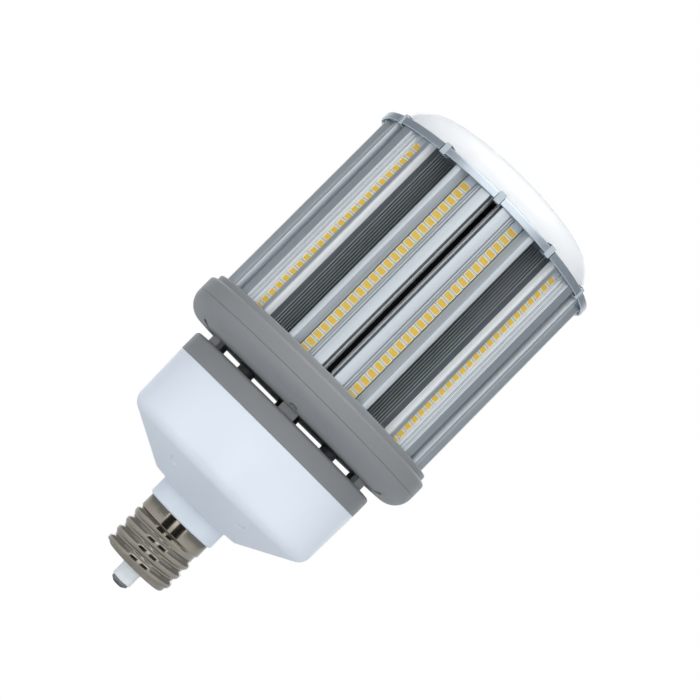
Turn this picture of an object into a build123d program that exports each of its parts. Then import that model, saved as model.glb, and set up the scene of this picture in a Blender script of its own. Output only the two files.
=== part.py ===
from build123d import *
import os
from math import cos, hypot, radians, sin, tan

# LED corn lamp with a mogul screw base.
# Millimetres. The origin is the tip of the centre contact, +Z runs along the lamp to its dome,
# and a gap between two heat sinks faces -Y.

# Screw base
THREAD_PITCH = 6.35
THREAD_CREST_RADIUS = 19.75
THREAD_ROOT_RADIUS = 18.35
THREAD_TURNS = 3.4
THREAD_START_Z = 14.1
THREAD_START_ANGLE = 150.0
SHELL_END_Z = 11.0
SHELL_END_BEND = 2.0
SHELL_MOUTH_RADIUS = 14.0
SHELL_SKIRT_RADIUS = 19.2
SHELL_SKIRT_HEIGHT = 8.2
SHELL_WALL = 0.7
SHELL_TOP_Z = 44.6

# Contact and its insulator
CONTACT_RADIUS = 4.9
CONTACT_FLAT_RADIUS = 2.6
CONTACT_HEIGHT = 2.8
CONTACT_EDGE_HEIGHT = 1.5
CONTACT_EDGE_BEND = 0.9
CONTACT_SHANK_RADIUS = 1.5
CONTACT_SHANK_REACH = 1.0
STUB_RADIUS = 5.6
STUB_ROOT_RADIUS = 6.3
STUB_ROOT_HEIGHT = 2.4
STUB_SEAT = 0.2
INSULATOR_DISC_THICKNESS = 2.4

# Driver housing
HOUSING_WALL = 2.3
NECK_RADIUS = 20.6
NECK_TOP_Z = 55.5
NECK_PLUG_GAP = 0.4
CONE_FOOT_RADIUS = 27.7
CONE_ANGLE = 27.6
HOUSING_RIM_RADIUS = 60.3
HOUSING_DRAFT = 1.0
HOUSING_RIM_Z = 106.2
HOUSING_CORNER_RADIUS = 8.0
DIMPLE_RADIUS = 2.4
DIMPLE_DEPTH = 0.8
DIMPLE_CIRCLE_RADIUS = 45.0
DIMPLE_COUNT = 6

# Housing cover
COVER_TOP_Z = 117.7
COVER_EDGE_RADIUS = 2.0
COVER_TOP_THICKNESS = 2.6
COVER_SPIGOT_DEPTH = 4.5
COVER_SPIGOT_WALL = 1.8
COVER_SPIGOT_CLEARANCE = 0.2

# Vent gap with its posts and bosses
VENT_HEIGHT = 4.0
POST_COUNT = 6
POST_INSET = 2.6
POST_THICKNESS = 3.0
POST_WIDTH = 9.8
BOSS_CIRCLE_RADIUS = 33.3
BOSS_RADIUS = 4.35
BOSS_FLARE = 1.2
BOSS_ROOT = 1.0

# Collar, in two parts that meet at the parting line
COLLAR_RIM_CLEARANCE = 0.3
COLLAR_RIM_WALL = 2.35
COLLAR_SHOULDER_WIDTH = 2.8
COLLAR_BELLY_WIDTH = 18.7
COLLAR_FLOOR_RISE = 0.8
COLLAR_BELLY_RADIUS = 11.0
COLLAR_WALL = 2.6
COLLAR_FLOOR_THICKNESS = 2.8
PARTING_Z = 133.7
COLLAR_SHOULDER_Z = 142.6
COLLAR_SHOULDER_BEND = 1.9
COLLAR_RIM_Z = 145.9
COLLAR_RIM_BEND = 0.9
COLLAR_LIP_HEIGHT = 2.2
COLLAR_LIP_WALL = 1.6
COLLAR_LIP_CLEARANCE = 0.15
DECK_THICKNESS = 3.0
DECK_DEPTH = 2.4
DECK_OPENING_RADIUS = 24.0
RECESS_COUNT = 6
RECESS_INSET = 7.7
RECESS_RADIUS = 2.6
RECESS_TOP_Z = 128.6
UPPER_BOSS_WALL = 1.6

# Heat sinks
PANEL_PAIRS = 6
PAIR_HALF_ANGLE = 14.2
FACE_DISTANCE = 68.0
INNER_WING_EDGE = 13.0
OUTER_WING_EDGE = 9.7
INNER_SLOPE_EDGE = 7.2
OUTER_SLOPE_EDGE = 6.5
WING_THICKNESS = 1.6
SIDE_WALL_DEPTH = 5.0
SIDE_WALL_THICKNESS = 1.1
CHANNEL_WIDTH = 6.0
CHANNEL_DEPTH = 5.7
CHANNEL_LIP_DEPTH = 3.2
CHANNEL_WALL = 1.6
CHANNEL_FLOOR_THICKNESS = 2.0
RIB_SIZE = 0.8
RIB_COUNT = 2
WEB_THICKNESS = 2.2
FIN_THICKNESS = 0.9
FIN_PITCH = 2.4
FIN_COUNT = 14
FIN_GAP = 2.5
PORT_RADIUS = 3.2
PORT_BAY = 10
HEAT_SINK_TOP_Z = 261.0

# LED boards and chips
BOARD_THICKNESS = 1.0
BOARD_SIDE_CLEARANCE = 0.2
BOARD_END_MARGIN = 0.6
CHIP_COUNT = 24
CHIP_PITCH = 4.72
CHIP_WIDTH = 4.9
CHIP_LENGTH = 3.5
CHIP_HEIGHT = 0.7
TOP_CHIP_Z = 254.6

# End plate
PLATE_CLEARANCE = 0.25
PLATE_THICKNESS = 2.5
PLATE_RIM_HEIGHT = 5.0
PLATE_RIM_WALL = 1.2
PLATE_EDGE_RADIUS = 0.9
PLATE_WIRE_HOLE_RADIUS = 6.0
NOTCH_COUNT = 12
NOTCH_WIDTH = 4.0
NOTCH_DEPTH = 4.9

# Dome lens
DOME_FLANGE_WIDTH = 2.7
DOME_APEX_RISE = 24.5
DOME_CROWN_RADIUS = 172.0
DOME_SHOULDER_RADIUS = 14.0
DOME_WALL = 1.8
DOME_FLANGE_CLEARANCE = 0.6
DOME_FLANGE_THICKNESS = 1.1
HOOK_CLEARANCE = 0.3
HOOK_SETBACK = 0.6
HOOK_BARB = 1.2
HOOK_BARB_HEIGHT = 2.0

# Top LED board
TOP_BOARD_CLEARANCE = 6.7
TOP_BOARD_THICKNESS = 1.6
TOP_BOARD_HOLE_RADIUS = 5.0
TOP_BOARD_SCREW_CLEARANCE = 0.3
TOP_CHIP_RING_RADII = (24.0, 42.0)
TOP_CHIP_RING_COUNTS = (12, 24)

# Wire tube and leads
TUBE_RADIUS = 7.5
TUBE_WALL = 1.3
TUBE_FLANGE_RADIUS = 10.5
TUBE_FLANGE_THICKNESS = 1.5
TUBE_STAND_OUT = 5.0
TUBE_CLEARANCE = 0.2
LEAD_RADIUS = 1.1
CABLE_RADIUS = 3.0
LEAD_BEND = 4.0

# Driver
DRIVER_Z = 82.0
DRIVER_BOARD_CLEARANCE = 5.0
DRIVER_BOARD_THICKNESS = 1.6
PILLAR_COUNT = 4
PILLAR_INSET = 7.0
PILLAR_RADIUS = 3.2
TRANSFORMER_SIZE = (34.0, 30.0, 21.0)
TRANSFORMER_PLACE = (-18.0, 14.0)
TRANSFORMER_CORE_WIDTH = 16.0
BOBBIN_DEPTH = 21.6
BOBBIN_HEIGHT = 15.1
CAPACITOR_RADIUS = 8.0
CAPACITOR_HEIGHT = 23.0
CAPACITOR_PLACES = ((20.0, 26.0), (30.0, 6.0), (22.0, -15.0))
CHOKE_RADIUS = 11.0
CHOKE_BORE_RADIUS = 5.0
CHOKE_HEIGHT = 10.0
CHOKE_PLACE = (-14.0, -24.0)

# Screws
SCREW_RADIUS = 1.4
SCREW_HEAD_RADIUS = 2.3
SCREW_HEAD_HEIGHT = 1.5
SCREW_LENGTH = 7.0
SCREW_GRIP = 5.0
SCREW_TIP_ROOM = 1.0

# Radii worked out from the sizes above: the collar and the end plate fit round the heat sinks
SINK_CORNER_RADIUS = hypot(FACE_DISTANCE, INNER_WING_EDGE)
COLLAR_RIM_RADIUS = SINK_CORNER_RADIUS + COLLAR_RIM_CLEARANCE + COLLAR_RIM_WALL
COLLAR_RADIUS = COLLAR_RIM_RADIUS + COLLAR_SHOULDER_WIDTH
COLLAR_FLOOR_RADIUS = COLLAR_RADIUS - COLLAR_BELLY_WIDTH
RECESS_CIRCLE_RADIUS = COLLAR_RADIUS - RECESS_INSET
PLATE_RADIUS = SINK_CORNER_RADIUS + PLATE_CLEARANCE + PLATE_RIM_WALL
NOTCH_FLOOR_RADIUS = PLATE_RADIUS - NOTCH_DEPTH
DOME_FLANGE_RADIUS = NOTCH_FLOOR_RADIUS - DOME_FLANGE_CLEARANCE
DOME_RADIUS = DOME_FLANGE_RADIUS - DOME_FLANGE_WIDTH
HOOK_OUTER_RADIUS = PLATE_RADIUS - HOOK_SETBACK
TOP_BOARD_RADIUS = DOME_RADIUS - DOME_WALL - TOP_BOARD_CLEARANCE
HOUSING_FOOT_RADIUS = HOUSING_RIM_RADIUS - HOUSING_DRAFT
POST_OUTER_RADIUS = HOUSING_RIM_RADIUS - POST_INSET
DRIVER_BOARD_RADIUS = HOUSING_FOOT_RADIUS - HOUSING_WALL - DRIVER_BOARD_CLEARANCE
PILLAR_CIRCLE_RADIUS = DRIVER_BOARD_RADIUS - PILLAR_INSET

# Heights and other places worked out from the sizes above
STUB_TOP_Z = SHELL_END_Z
SHANK_TOP_Z = STUB_TOP_Z + INSULATOR_DISC_THICKNESS + CONTACT_SHANK_REACH
SKIRT_STEP = SHELL_SKIRT_RADIUS - THREAD_ROOT_RADIUS
SKIRT_Z = SHELL_TOP_Z - SHELL_SKIRT_HEIGHT + SKIRT_STEP
PLUG_RADIUS = SHELL_SKIRT_RADIUS - SHELL_WALL
PLUG_Z = SKIRT_Z + NECK_PLUG_GAP
FLOOR_Z = COVER_TOP_Z + VENT_HEIGHT
TRAY_Z = FLOOR_Z + COLLAR_FLOOR_RISE + COLLAR_FLOOR_THICKNESS
DECK_Z = COLLAR_RIM_Z - DECK_DEPTH
HEAT_SINK_HEIGHT = HEAT_SINK_TOP_Z - DECK_Z
CHANNEL_FLOOR_DISTANCE = FACE_DISTANCE - CHANNEL_DEPTH
FACE_BACK_DISTANCE = CHANNEL_FLOOR_DISTANCE - CHANNEL_FLOOR_THICKNESS
PORT_DISTANCE = FACE_BACK_DISTANCE - (PORT_BAY + 0.5) * FIN_PITCH
PLATE_TOP_Z = HEAT_SINK_TOP_Z + PLATE_THICKNESS
COVER_FLOOR_Z = COVER_TOP_Z - COVER_TOP_THICKNESS
TUBE_BOTTOM_Z = COVER_FLOOR_Z - TUBE_STAND_OUT
TUBE_TOP_Z = TRAY_Z + TUBE_STAND_OUT
PANEL_ANGLES = [
    pair * 360 / PANEL_PAIRS + side * PAIR_HALF_ANGLE
    for pair in range(PANEL_PAIRS)
    for side in (-1, 1)
]


def turned(*corners):
    """Solid turned about Z from a closed outline of (radius, height, corner radius)."""
    points = [(radius, height) for radius, height, bend in corners]
    bends = [bend for radius, height, bend in corners]
    outline = FilletPolyline(*points, radius=bends, close=True)
    return revolve(Plane.XZ * make_face(outline), Axis.Z)


def upright(radius, bottom, top, place=(0, 0)):
    """Round bar between two heights."""
    x, y = place
    return Pos(x, y, bottom) * extrude(Circle(radius), top - bottom)


def around(count, radius, first=0.0):
    """Points (x, y) evenly spaced round the axis, the first one towards -Y."""
    angles = [first + index * 360 / count for index in range(count)]
    return [(radius * sin(radians(a)), -radius * cos(radians(a))) for a in angles]


def facing(angle, solid):
    """Turns a piece that was drawn facing -Y round the axis, towards +X first."""
    return Rot(0, 0, angle) * solid


def group(solids):
    """Keeps separate solids together under one name."""
    return Compound(children=[part.solid() for part in solids])


def screw(place, seat_z, head_above, length=SCREW_LENGTH):
    """Pan-head screw whose head sits on a face at seat_z."""
    way = 1 if head_above else -1
    x, y = place
    head = Cylinder(SCREW_HEAD_RADIUS, SCREW_HEAD_HEIGHT)
    shank = Cylinder(SCREW_RADIUS, length)
    head_z = seat_z + way * SCREW_HEAD_HEIGHT / 2
    shank_z = seat_z - way * length / 2
    return Pos(x, y, head_z) * head + Pos(x, y, shank_z) * shank


def lead(*points, bends):
    """Insulated wire along straight runs joined by arcs."""
    path = FilletPolyline(*points, radius=bends) if bends else Polyline(*points)
    section = Plane(origin=path @ 0, z_dir=path % 0) * Circle(LEAD_RADIUS)
    return sweep(section, path=path)


def centre_contact():
    """Domed button with a shank that goes up through the insulator."""
    button = turned(
        (0, 0, 0),
        (CONTACT_FLAT_RADIUS, 0, 0),
        (CONTACT_RADIUS, CONTACT_EDGE_HEIGHT, CONTACT_EDGE_BEND),
        (CONTACT_RADIUS, CONTACT_HEIGHT, 0),
        (0, CONTACT_HEIGHT, 0),
    )
    return button + upright(CONTACT_SHANK_RADIUS, CONTACT_HEIGHT, SHANK_TOP_Z)


def contact_insulator():
    """Stub that holds the contact out, and the disc that closes the shell's mouth."""
    disc_radius = THREAD_ROOT_RADIUS - SHELL_WALL
    disc_bottom = SHELL_END_Z + SHELL_WALL
    disc_top = disc_bottom + INSULATOR_DISC_THICKNESS
    body = turned(
        (CONTACT_SHANK_RADIUS, CONTACT_HEIGHT, 0),
        (STUB_RADIUS, CONTACT_HEIGHT, 0.4),
        (STUB_RADIUS, STUB_TOP_Z - STUB_ROOT_HEIGHT, 1.0),
        (STUB_ROOT_RADIUS, STUB_TOP_Z - STUB_SEAT, 0),
        (SHELL_MOUTH_RADIUS, SHELL_END_Z + STUB_SEAT, 0),
        (SHELL_MOUTH_RADIUS, disc_bottom, 0),
        (disc_radius - SHELL_END_BEND, disc_bottom, 0),
        (disc_radius - SHELL_END_BEND, disc_top, 0),
        (CONTACT_SHANK_RADIUS, disc_top, 0),
    )
    return body


def screw_shell():
    """Sheet shell with a rolled knuckle thread, an inturned end and a smooth skirt."""
    root_inside = THREAD_ROOT_RADIUS - SHELL_WALL
    shell = turned(
        (SHELL_MOUTH_RADIUS, SHELL_END_Z, 0),
        (THREAD_ROOT_RADIUS, SHELL_END_Z, SHELL_END_BEND),
        (THREAD_ROOT_RADIUS, SKIRT_Z - SKIRT_STEP, 0),
        (SHELL_SKIRT_RADIUS, SKIRT_Z, 0.4),
        (SHELL_SKIRT_RADIUS, SHELL_TOP_Z, 0),
        (PLUG_RADIUS, SHELL_TOP_Z, 0),
        (PLUG_RADIUS, SKIRT_Z, 0),
        (root_inside, SKIRT_Z - SKIRT_STEP, 0),
        (root_inside, SHELL_END_Z + SHELL_WALL, SHELL_END_BEND - SHELL_WALL),
        (SHELL_MOUTH_RADIUS, SHELL_END_Z + SHELL_WALL, 0),
    )
    depth = THREAD_CREST_RADIUS - THREAD_ROOT_RADIUS
    bite = SHELL_WALL / 2
    length = THREAD_TURNS * THREAD_PITCH
    path = Helix(THREAD_PITCH, length, THREAD_ROOT_RADIUS)
    ridge = Plane(origin=path @ 0, x_dir=(1, 0, 0), z_dir=path % 0) * make_face(
        FilletPolyline(
            (-bite, -THREAD_PITCH * 0.3),
            (depth, -THREAD_PITCH * 0.14),
            (depth, THREAD_PITCH * 0.14),
            (-bite, THREAD_PITCH * 0.3),
            radius=(0, 0.85, 0.85, 0),
            close=True,
        )
    )
    thread = sweep(ridge, path=path, is_frenet=True)
    return shell + Pos(0, 0, THREAD_START_Z) * Rot(0, 0, THREAD_START_ANGLE) * thread


def driver_housing():
    """White cup: plug, neck, cone, rounded corner and drafted wall, with pillars inside."""
    slope = tan(radians(CONE_ANGLE))
    corner_z = NECK_TOP_Z + (HOUSING_FOOT_RADIUS - CONE_FOOT_RADIUS) * slope
    drop = HOUSING_WALL / cos(radians(CONE_ANGLE))
    bore = PLUG_RADIUS - HOUSING_WALL
    inner_corner_z = corner_z + drop - HOUSING_WALL * slope
    bore_top_z = inner_corner_z - (HOUSING_FOOT_RADIUS - HOUSING_WALL - bore) * slope
    cup = turned(
        (bore, PLUG_Z, 0),
        (PLUG_RADIUS, PLUG_Z, 0),
        (PLUG_RADIUS, SHELL_TOP_Z, 0),
        (NECK_RADIUS, SHELL_TOP_Z, 1.2),
        (NECK_RADIUS, NECK_TOP_Z, 1.0),
        (CONE_FOOT_RADIUS, NECK_TOP_Z, 2.0),
        (HOUSING_FOOT_RADIUS, corner_z, HOUSING_CORNER_RADIUS),
        (HOUSING_RIM_RADIUS, HOUSING_RIM_Z, 0),
        (HOUSING_RIM_RADIUS - HOUSING_WALL, HOUSING_RIM_Z, 0),
        (HOUSING_FOOT_RADIUS - HOUSING_WALL, inner_corner_z, HOUSING_CORNER_RADIUS - HOUSING_WALL),
        (bore, bore_top_z, 0),
    )
    dimple_z = NECK_TOP_Z + (DIMPLE_CIRCLE_RADIUS - CONE_FOOT_RADIUS) * slope
    pillar_z = NECK_TOP_Z + (PILLAR_CIRCLE_RADIUS - CONE_FOOT_RADIUS) * slope
    half_turn = 180 / DIMPLE_COUNT
    for x, y in around(DIMPLE_COUNT, DIMPLE_CIRCLE_RADIUS, first=half_turn):
        cup -= upright(DIMPLE_RADIUS, dimple_z - HOUSING_WALL, dimple_z + DIMPLE_DEPTH, (x, y))
    for place in around(PILLAR_COUNT, PILLAR_CIRCLE_RADIUS, first=180 / PILLAR_COUNT):
        cup += upright(PILLAR_RADIUS, pillar_z + HOUSING_WALL / 2, DRIVER_Z, place)
        cup -= upright(SCREW_RADIUS, DRIVER_Z - SCREW_GRIP - SCREW_TIP_ROOM, DRIVER_Z, place)
    return cup


def housing_cover():
    """Grey ring with a closed top and a spigot that locates it in the cup."""
    spigot = HOUSING_RIM_RADIUS - HOUSING_WALL - COVER_SPIGOT_CLEARANCE
    spigot_z = HOUSING_RIM_Z - COVER_SPIGOT_DEPTH
    cover = turned(
        (spigot - COVER_SPIGOT_WALL, spigot_z, 0),
        (spigot, spigot_z, 0),
        (spigot, HOUSING_RIM_Z, 0),
        (HOUSING_RIM_RADIUS, HOUSING_RIM_Z, 0),
        (HOUSING_RIM_RADIUS, COVER_TOP_Z, COVER_EDGE_RADIUS),
        (TUBE_RADIUS + TUBE_CLEARANCE, COVER_TOP_Z, 0),
        (TUBE_RADIUS + TUBE_CLEARANCE, COVER_FLOOR_Z, 0),
        (spigot - COVER_SPIGOT_WALL, COVER_FLOOR_Z, 0),
    )
    for place in around(POST_COUNT, BOSS_CIRCLE_RADIUS):
        cover -= upright(SCREW_RADIUS, COVER_FLOOR_Z, COVER_TOP_Z, place)
    return cover


def collar_lower():
    """Tray with a rounded belly, on posts and screw bosses that stand on the cover."""
    belly_z = FLOOR_Z + COLLAR_FLOOR_RISE
    inner = COLLAR_RADIUS - COLLAR_WALL
    inner_bend = min(COLLAR_BELLY_RADIUS - COLLAR_WALL, 0.9 * (PARTING_Z - TRAY_Z))
    tray = turned(
        (TUBE_RADIUS + TUBE_CLEARANCE, FLOOR_Z, 0),
        (COLLAR_FLOOR_RADIUS, FLOOR_Z, 3.0),
        (COLLAR_RADIUS, belly_z, COLLAR_BELLY_RADIUS),
        (COLLAR_RADIUS, PARTING_Z, 0),
        (inner, PARTING_Z, 0),
        (inner, TRAY_Z, inner_bend),
        (TUBE_RADIUS + TUBE_CLEARANCE, TRAY_Z, 0),
    )
    wall = extrude(Circle(POST_OUTER_RADIUS) - Circle(POST_OUTER_RADIUS - POST_THICKNESS), VENT_HEIGHT)
    blade = Pos(0, -POST_OUTER_RADIUS, VENT_HEIGHT / 2) * Box(POST_WIDTH, 4 * POST_THICKNESS, VENT_HEIGHT)
    post = Pos(0, 0, COVER_TOP_Z) * (wall & blade)
    boss = turned(
        (0, COVER_TOP_Z, 0),
        (BOSS_RADIUS, COVER_TOP_Z, 0),
        (BOSS_RADIUS, FLOOR_Z, BOSS_FLARE),
        (BOSS_RADIUS + 2 * BOSS_FLARE, FLOOR_Z, 0),
        (BOSS_RADIUS + 2 * BOSS_FLARE, FLOOR_Z + BOSS_ROOT, 0),
        (0, FLOOR_Z + BOSS_ROOT, 0),
    )
    for index in range(POST_COUNT):
        tray += facing(index * 360 / POST_COUNT, post)
    for x, y in around(POST_COUNT, BOSS_CIRCLE_RADIUS):
        tray += Pos(x, y, 0) * boss
        tray -= upright(SCREW_RADIUS, COVER_TOP_Z, COVER_TOP_Z + SCREW_GRIP, (x, y))
    pad_z = RECESS_TOP_Z + COLLAR_WALL
    for place in around(RECESS_COUNT, RECESS_CIRCLE_RADIUS):
        tray += upright(RECESS_RADIUS + COLLAR_WALL / 2, TRAY_Z - 1, pad_z, place)
        tray -= upright(RECESS_RADIUS, FLOOR_Z, RECESS_TOP_Z, place)
        tray -= upright(SCREW_RADIUS, RECESS_TOP_Z, pad_z, place)
    return tray


def collar_upper():
    """Ring with a stepped shoulder, a rim round the heat sinks and the deck they stand on."""
    inner = COLLAR_RADIUS - COLLAR_WALL
    deck_bottom = DECK_Z - DECK_THICKNESS
    rim_inside = COLLAR_RIM_RADIUS - COLLAR_RIM_WALL
    lip_outside = inner - COLLAR_LIP_CLEARANCE
    ring = turned(
        (lip_outside - COLLAR_LIP_WALL, PARTING_Z - COLLAR_LIP_HEIGHT, 0),
        (lip_outside, PARTING_Z - COLLAR_LIP_HEIGHT, 0),
        (lip_outside, PARTING_Z, 0),
        (COLLAR_RADIUS, PARTING_Z, 0),
        (COLLAR_RADIUS, COLLAR_SHOULDER_Z, COLLAR_SHOULDER_BEND),
        (COLLAR_RIM_RADIUS, COLLAR_SHOULDER_Z, 0.5),
        (COLLAR_RIM_RADIUS, COLLAR_RIM_Z, COLLAR_RIM_BEND),
        (rim_inside, COLLAR_RIM_Z, 0),
        (rim_inside, DECK_Z, 0),
        (DECK_OPENING_RADIUS, DECK_Z, 0),
        (DECK_OPENING_RADIUS, deck_bottom, 0),
        (lip_outside - COLLAR_LIP_WALL, deck_bottom, 0),
    )
    pad_z = RECESS_TOP_Z + COLLAR_WALL
    for place in around(RECESS_COUNT, RECESS_CIRCLE_RADIUS):
        ring += upright(SCREW_RADIUS + UPPER_BOSS_WALL, pad_z, deck_bottom, place)
        ring -= upright(SCREW_RADIUS, pad_z, pad_z + SCREW_GRIP, place)
    for angle in PANEL_ANGLES:
        ring -= facing(angle, upright(SCREW_RADIUS, deck_bottom, DECK_Z, (0, -PORT_DISTANCE)))
    return ring


def heat_sink_section():
    """Section of one extrusion, drawn facing -Y with its pair's gap towards +X.

    Two wings of unequal width with walls at their edges, slopes down to the channel for
    the LED board and ribs on one slope; behind it a web with fins that get shorter
    inwards, and a screw port.
    """
    front = -FACE_DISTANCE
    under = front + WING_THICKNESS
    foot = front + SIDE_WALL_DEPTH
    lip = front + CHANNEL_LIP_DEPTH
    floor = -CHANNEL_FLOOR_DISTANCE
    back = -FACE_BACK_DISTANCE
    channel = CHANNEL_WIDTH / 2
    keel = channel + CHANNEL_WALL
    section = make_face(
        Polyline(
            (-OUTER_WING_EDGE, foot),
            (-OUTER_WING_EDGE, front),
            (-OUTER_SLOPE_EDGE, front),
            (-channel, lip),
            (-channel, floor),
            (channel, floor),
            (channel, lip),
            (INNER_SLOPE_EDGE, front),
            (INNER_WING_EDGE, front),
            (INNER_WING_EDGE, foot),
            (INNER_WING_EDGE - SIDE_WALL_THICKNESS, foot),
            (INNER_WING_EDGE - SIDE_WALL_THICKNESS, under),
            (INNER_SLOPE_EDGE, under),
            (keel, back),
            (-keel, back),
            (-OUTER_SLOPE_EDGE, under),
            (SIDE_WALL_THICKNESS - OUTER_WING_EDGE, under),
            (SIDE_WALL_THICKNESS - OUTER_WING_EDGE, foot),
            close=True,
        )
    )
    for index in range(1, RIB_COUNT + 1):
        share = index / (RIB_COUNT + 1)
        rib = Pos(channel + share * (INNER_SLOPE_EDGE - channel), lip + share * (front - lip))
        section += rib * Rot(0, 0, 45) * Rectangle(RIB_SIZE, RIB_SIZE)
    web_length = FIN_COUNT * FIN_PITCH
    section += Pos(0, back + web_length / 2) * Rectangle(WEB_THICKNESS, web_length)
    outer_angle = 180 / PANEL_PAIRS - PAIR_HALF_ANGLE
    for index in range(1, FIN_COUNT + 1):
        fin_y = back + index * FIN_PITCH
        inner, outer = [
            -fin_y * tan(radians(angle)) - FIN_GAP / 2 for angle in (PAIR_HALF_ANGLE, outer_angle)
        ]
        section += Pos((inner - outer) / 2, fin_y) * Rectangle(inner + outer, FIN_THICKNESS)
    section += Pos(0, -PORT_DISTANCE) * Circle(PORT_RADIUS)
    return section - Pos(0, -PORT_DISTANCE) * Circle(SCREW_RADIUS)


def heat_sink():
    """One extrusion, facing -Y, from the deck to the end plate."""
    return Pos(0, 0, DECK_Z) * extrude(heat_sink_section(), HEAT_SINK_HEIGHT)


def led_board():
    """Board strip on the channel's floor."""
    width = CHANNEL_WIDTH - 2 * BOARD_SIDE_CLEARANCE
    length = HEAT_SINK_HEIGHT - 2 * BOARD_END_MARGIN
    place = Pos(
        0, -CHANNEL_FLOOR_DISTANCE - BOARD_THICKNESS / 2, DECK_Z + HEAT_SINK_HEIGHT / 2
    )
    return place * Box(width, BOARD_THICKNESS, length)


def led_chips():
    """Row of chips on one board, from the top chip down."""
    y = -CHANNEL_FLOOR_DISTANCE - BOARD_THICKNESS - CHIP_HEIGHT / 2
    chip = Box(CHIP_WIDTH, CHIP_HEIGHT, CHIP_LENGTH)
    return [Pos(0, y, TOP_CHIP_Z - index * CHIP_PITCH) * chip for index in range(CHIP_COUNT)]


def end_plate():
    """Shallow metal cap over the heat sinks, notched at the gaps."""
    rim_z = PLATE_TOP_Z - PLATE_RIM_HEIGHT
    rim_inside = PLATE_RADIUS - PLATE_RIM_WALL
    plate = turned(
        (PLATE_WIRE_HOLE_RADIUS, HEAT_SINK_TOP_Z, 0),
        (rim_inside, HEAT_SINK_TOP_Z, 0),
        (rim_inside, rim_z, 0),
        (PLATE_RADIUS, rim_z, 0.4),
        (PLATE_RADIUS, PLATE_TOP_Z, PLATE_EDGE_RADIUS),
        (PLATE_WIRE_HOLE_RADIUS, PLATE_TOP_Z, 0),
    )
    notch = Pos(0, -(NOTCH_FLOOR_RADIUS + NOTCH_DEPTH), (rim_z + PLATE_TOP_Z) / 2) * Box(
        NOTCH_WIDTH, 2 * NOTCH_DEPTH, 2 * PLATE_RIM_HEIGHT
    )
    for index in range(NOTCH_COUNT):
        plate -= facing(index * 360 / NOTCH_COUNT, notch)
    for angle in PANEL_ANGLES:
        hole = upright(SCREW_RADIUS, HEAT_SINK_TOP_Z, PLATE_TOP_Z, (0, -PORT_DISTANCE))
        plate -= facing(angle, hole)
    return plate


def dome_lens():
    """Thin dome with a flat crown and a round shoulder, snapped on by hooks in the notches."""

    def crown_z(radius, crown, apex):
        return apex - crown + (crown**2 - radius**2) ** 0.5

    def dome(radius, crown, apex_rise, shoulder):
        apex_z = PLATE_TOP_Z + apex_rise
        wall_top = crown_z(radius, crown, apex_z)
        arc = ThreePointArc(
            (0, apex_z), (radius / 2, crown_z(radius / 2, crown, apex_z)), (radius, wall_top)
        )
        wall = Line((radius, wall_top), (radius, PLATE_TOP_Z))
        foot = Polyline((radius, PLATE_TOP_Z), (0, PLATE_TOP_Z), (0, apex_z))
        face = make_face([arc, wall, foot])
        corner = face.vertices().sort_by_distance((radius, wall_top))[0]
        return revolve(Plane.XZ * fillet(corner, shoulder), Axis.Z)

    lens = dome(DOME_RADIUS, DOME_CROWN_RADIUS, DOME_APEX_RISE, DOME_SHOULDER_RADIUS)
    lens -= dome(
        DOME_RADIUS - DOME_WALL,
        DOME_CROWN_RADIUS - DOME_WALL,
        DOME_APEX_RISE - DOME_WALL,
        DOME_SHOULDER_RADIUS - DOME_WALL,
    )
    lens += turned(
        (DOME_RADIUS - DOME_WALL, PLATE_TOP_Z, 0),
        (DOME_FLANGE_RADIUS, PLATE_TOP_Z, 0),
        (DOME_FLANGE_RADIUS, PLATE_TOP_Z + DOME_FLANGE_THICKNESS, 0),
        (DOME_RADIUS - DOME_WALL, PLATE_TOP_Z + DOME_FLANGE_THICKNESS, 0),
    )
    hook_inside = NOTCH_FLOOR_RADIUS + HOOK_CLEARANCE
    barb_top = HEAT_SINK_TOP_Z - HOOK_CLEARANCE
    barb_bottom = barb_top - HOOK_BARB_HEIGHT
    tab_top = PLATE_TOP_Z + DOME_FLANGE_THICKNESS
    outline = Polyline(
        (DOME_RADIUS - DOME_WALL / 2, PLATE_TOP_Z),
        (hook_inside, PLATE_TOP_Z),
        (hook_inside, barb_top),
        (hook_inside - HOOK_BARB, barb_top),
        (hook_inside, barb_bottom),
        (HOOK_OUTER_RADIUS, barb_bottom),
        (HOOK_OUTER_RADIUS, tab_top),
        (DOME_RADIUS - DOME_WALL / 2, tab_top),
        close=True,
    )
    hook_width = NOTCH_WIDTH - 2 * HOOK_CLEARANCE
    hook = extrude(Plane.XZ * make_face(outline), hook_width / 2, both=True)
    hook = Rot(0, 0, -90) * hook
    for index in range(NOTCH_COUNT):
        lens += facing(index * 360 / NOTCH_COUNT, hook)
    return lens


def top_led_board():
    """Round board on the end plate, under the dome, cut clear of the plate's screw heads."""
    board = upright(TOP_BOARD_RADIUS, PLATE_TOP_Z, PLATE_TOP_Z + TOP_BOARD_THICKNESS)
    board -= upright(TOP_BOARD_HOLE_RADIUS, PLATE_TOP_Z, PLATE_TOP_Z + TOP_BOARD_THICKNESS)
    for angle in PANEL_ANGLES:
        hole = upright(
            SCREW_HEAD_RADIUS + TOP_BOARD_SCREW_CLEARANCE,
            PLATE_TOP_Z,
            PLATE_TOP_Z + TOP_BOARD_THICKNESS,
            (0, -PORT_DISTANCE),
        )
        board -= facing(angle, hole)
    return board


def top_led_chips():
    """Rings of chips on the top board."""
    z = PLATE_TOP_Z + TOP_BOARD_THICKNESS + CHIP_HEIGHT / 2
    chip = Box(CHIP_WIDTH, CHIP_LENGTH, CHIP_HEIGHT)
    return [
        facing(index * 360 / count, Pos(0, -radius, z) * chip)
        for radius, count in zip(TOP_CHIP_RING_RADII, TOP_CHIP_RING_COUNTS)
        for index in range(count)
    ]


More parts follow.
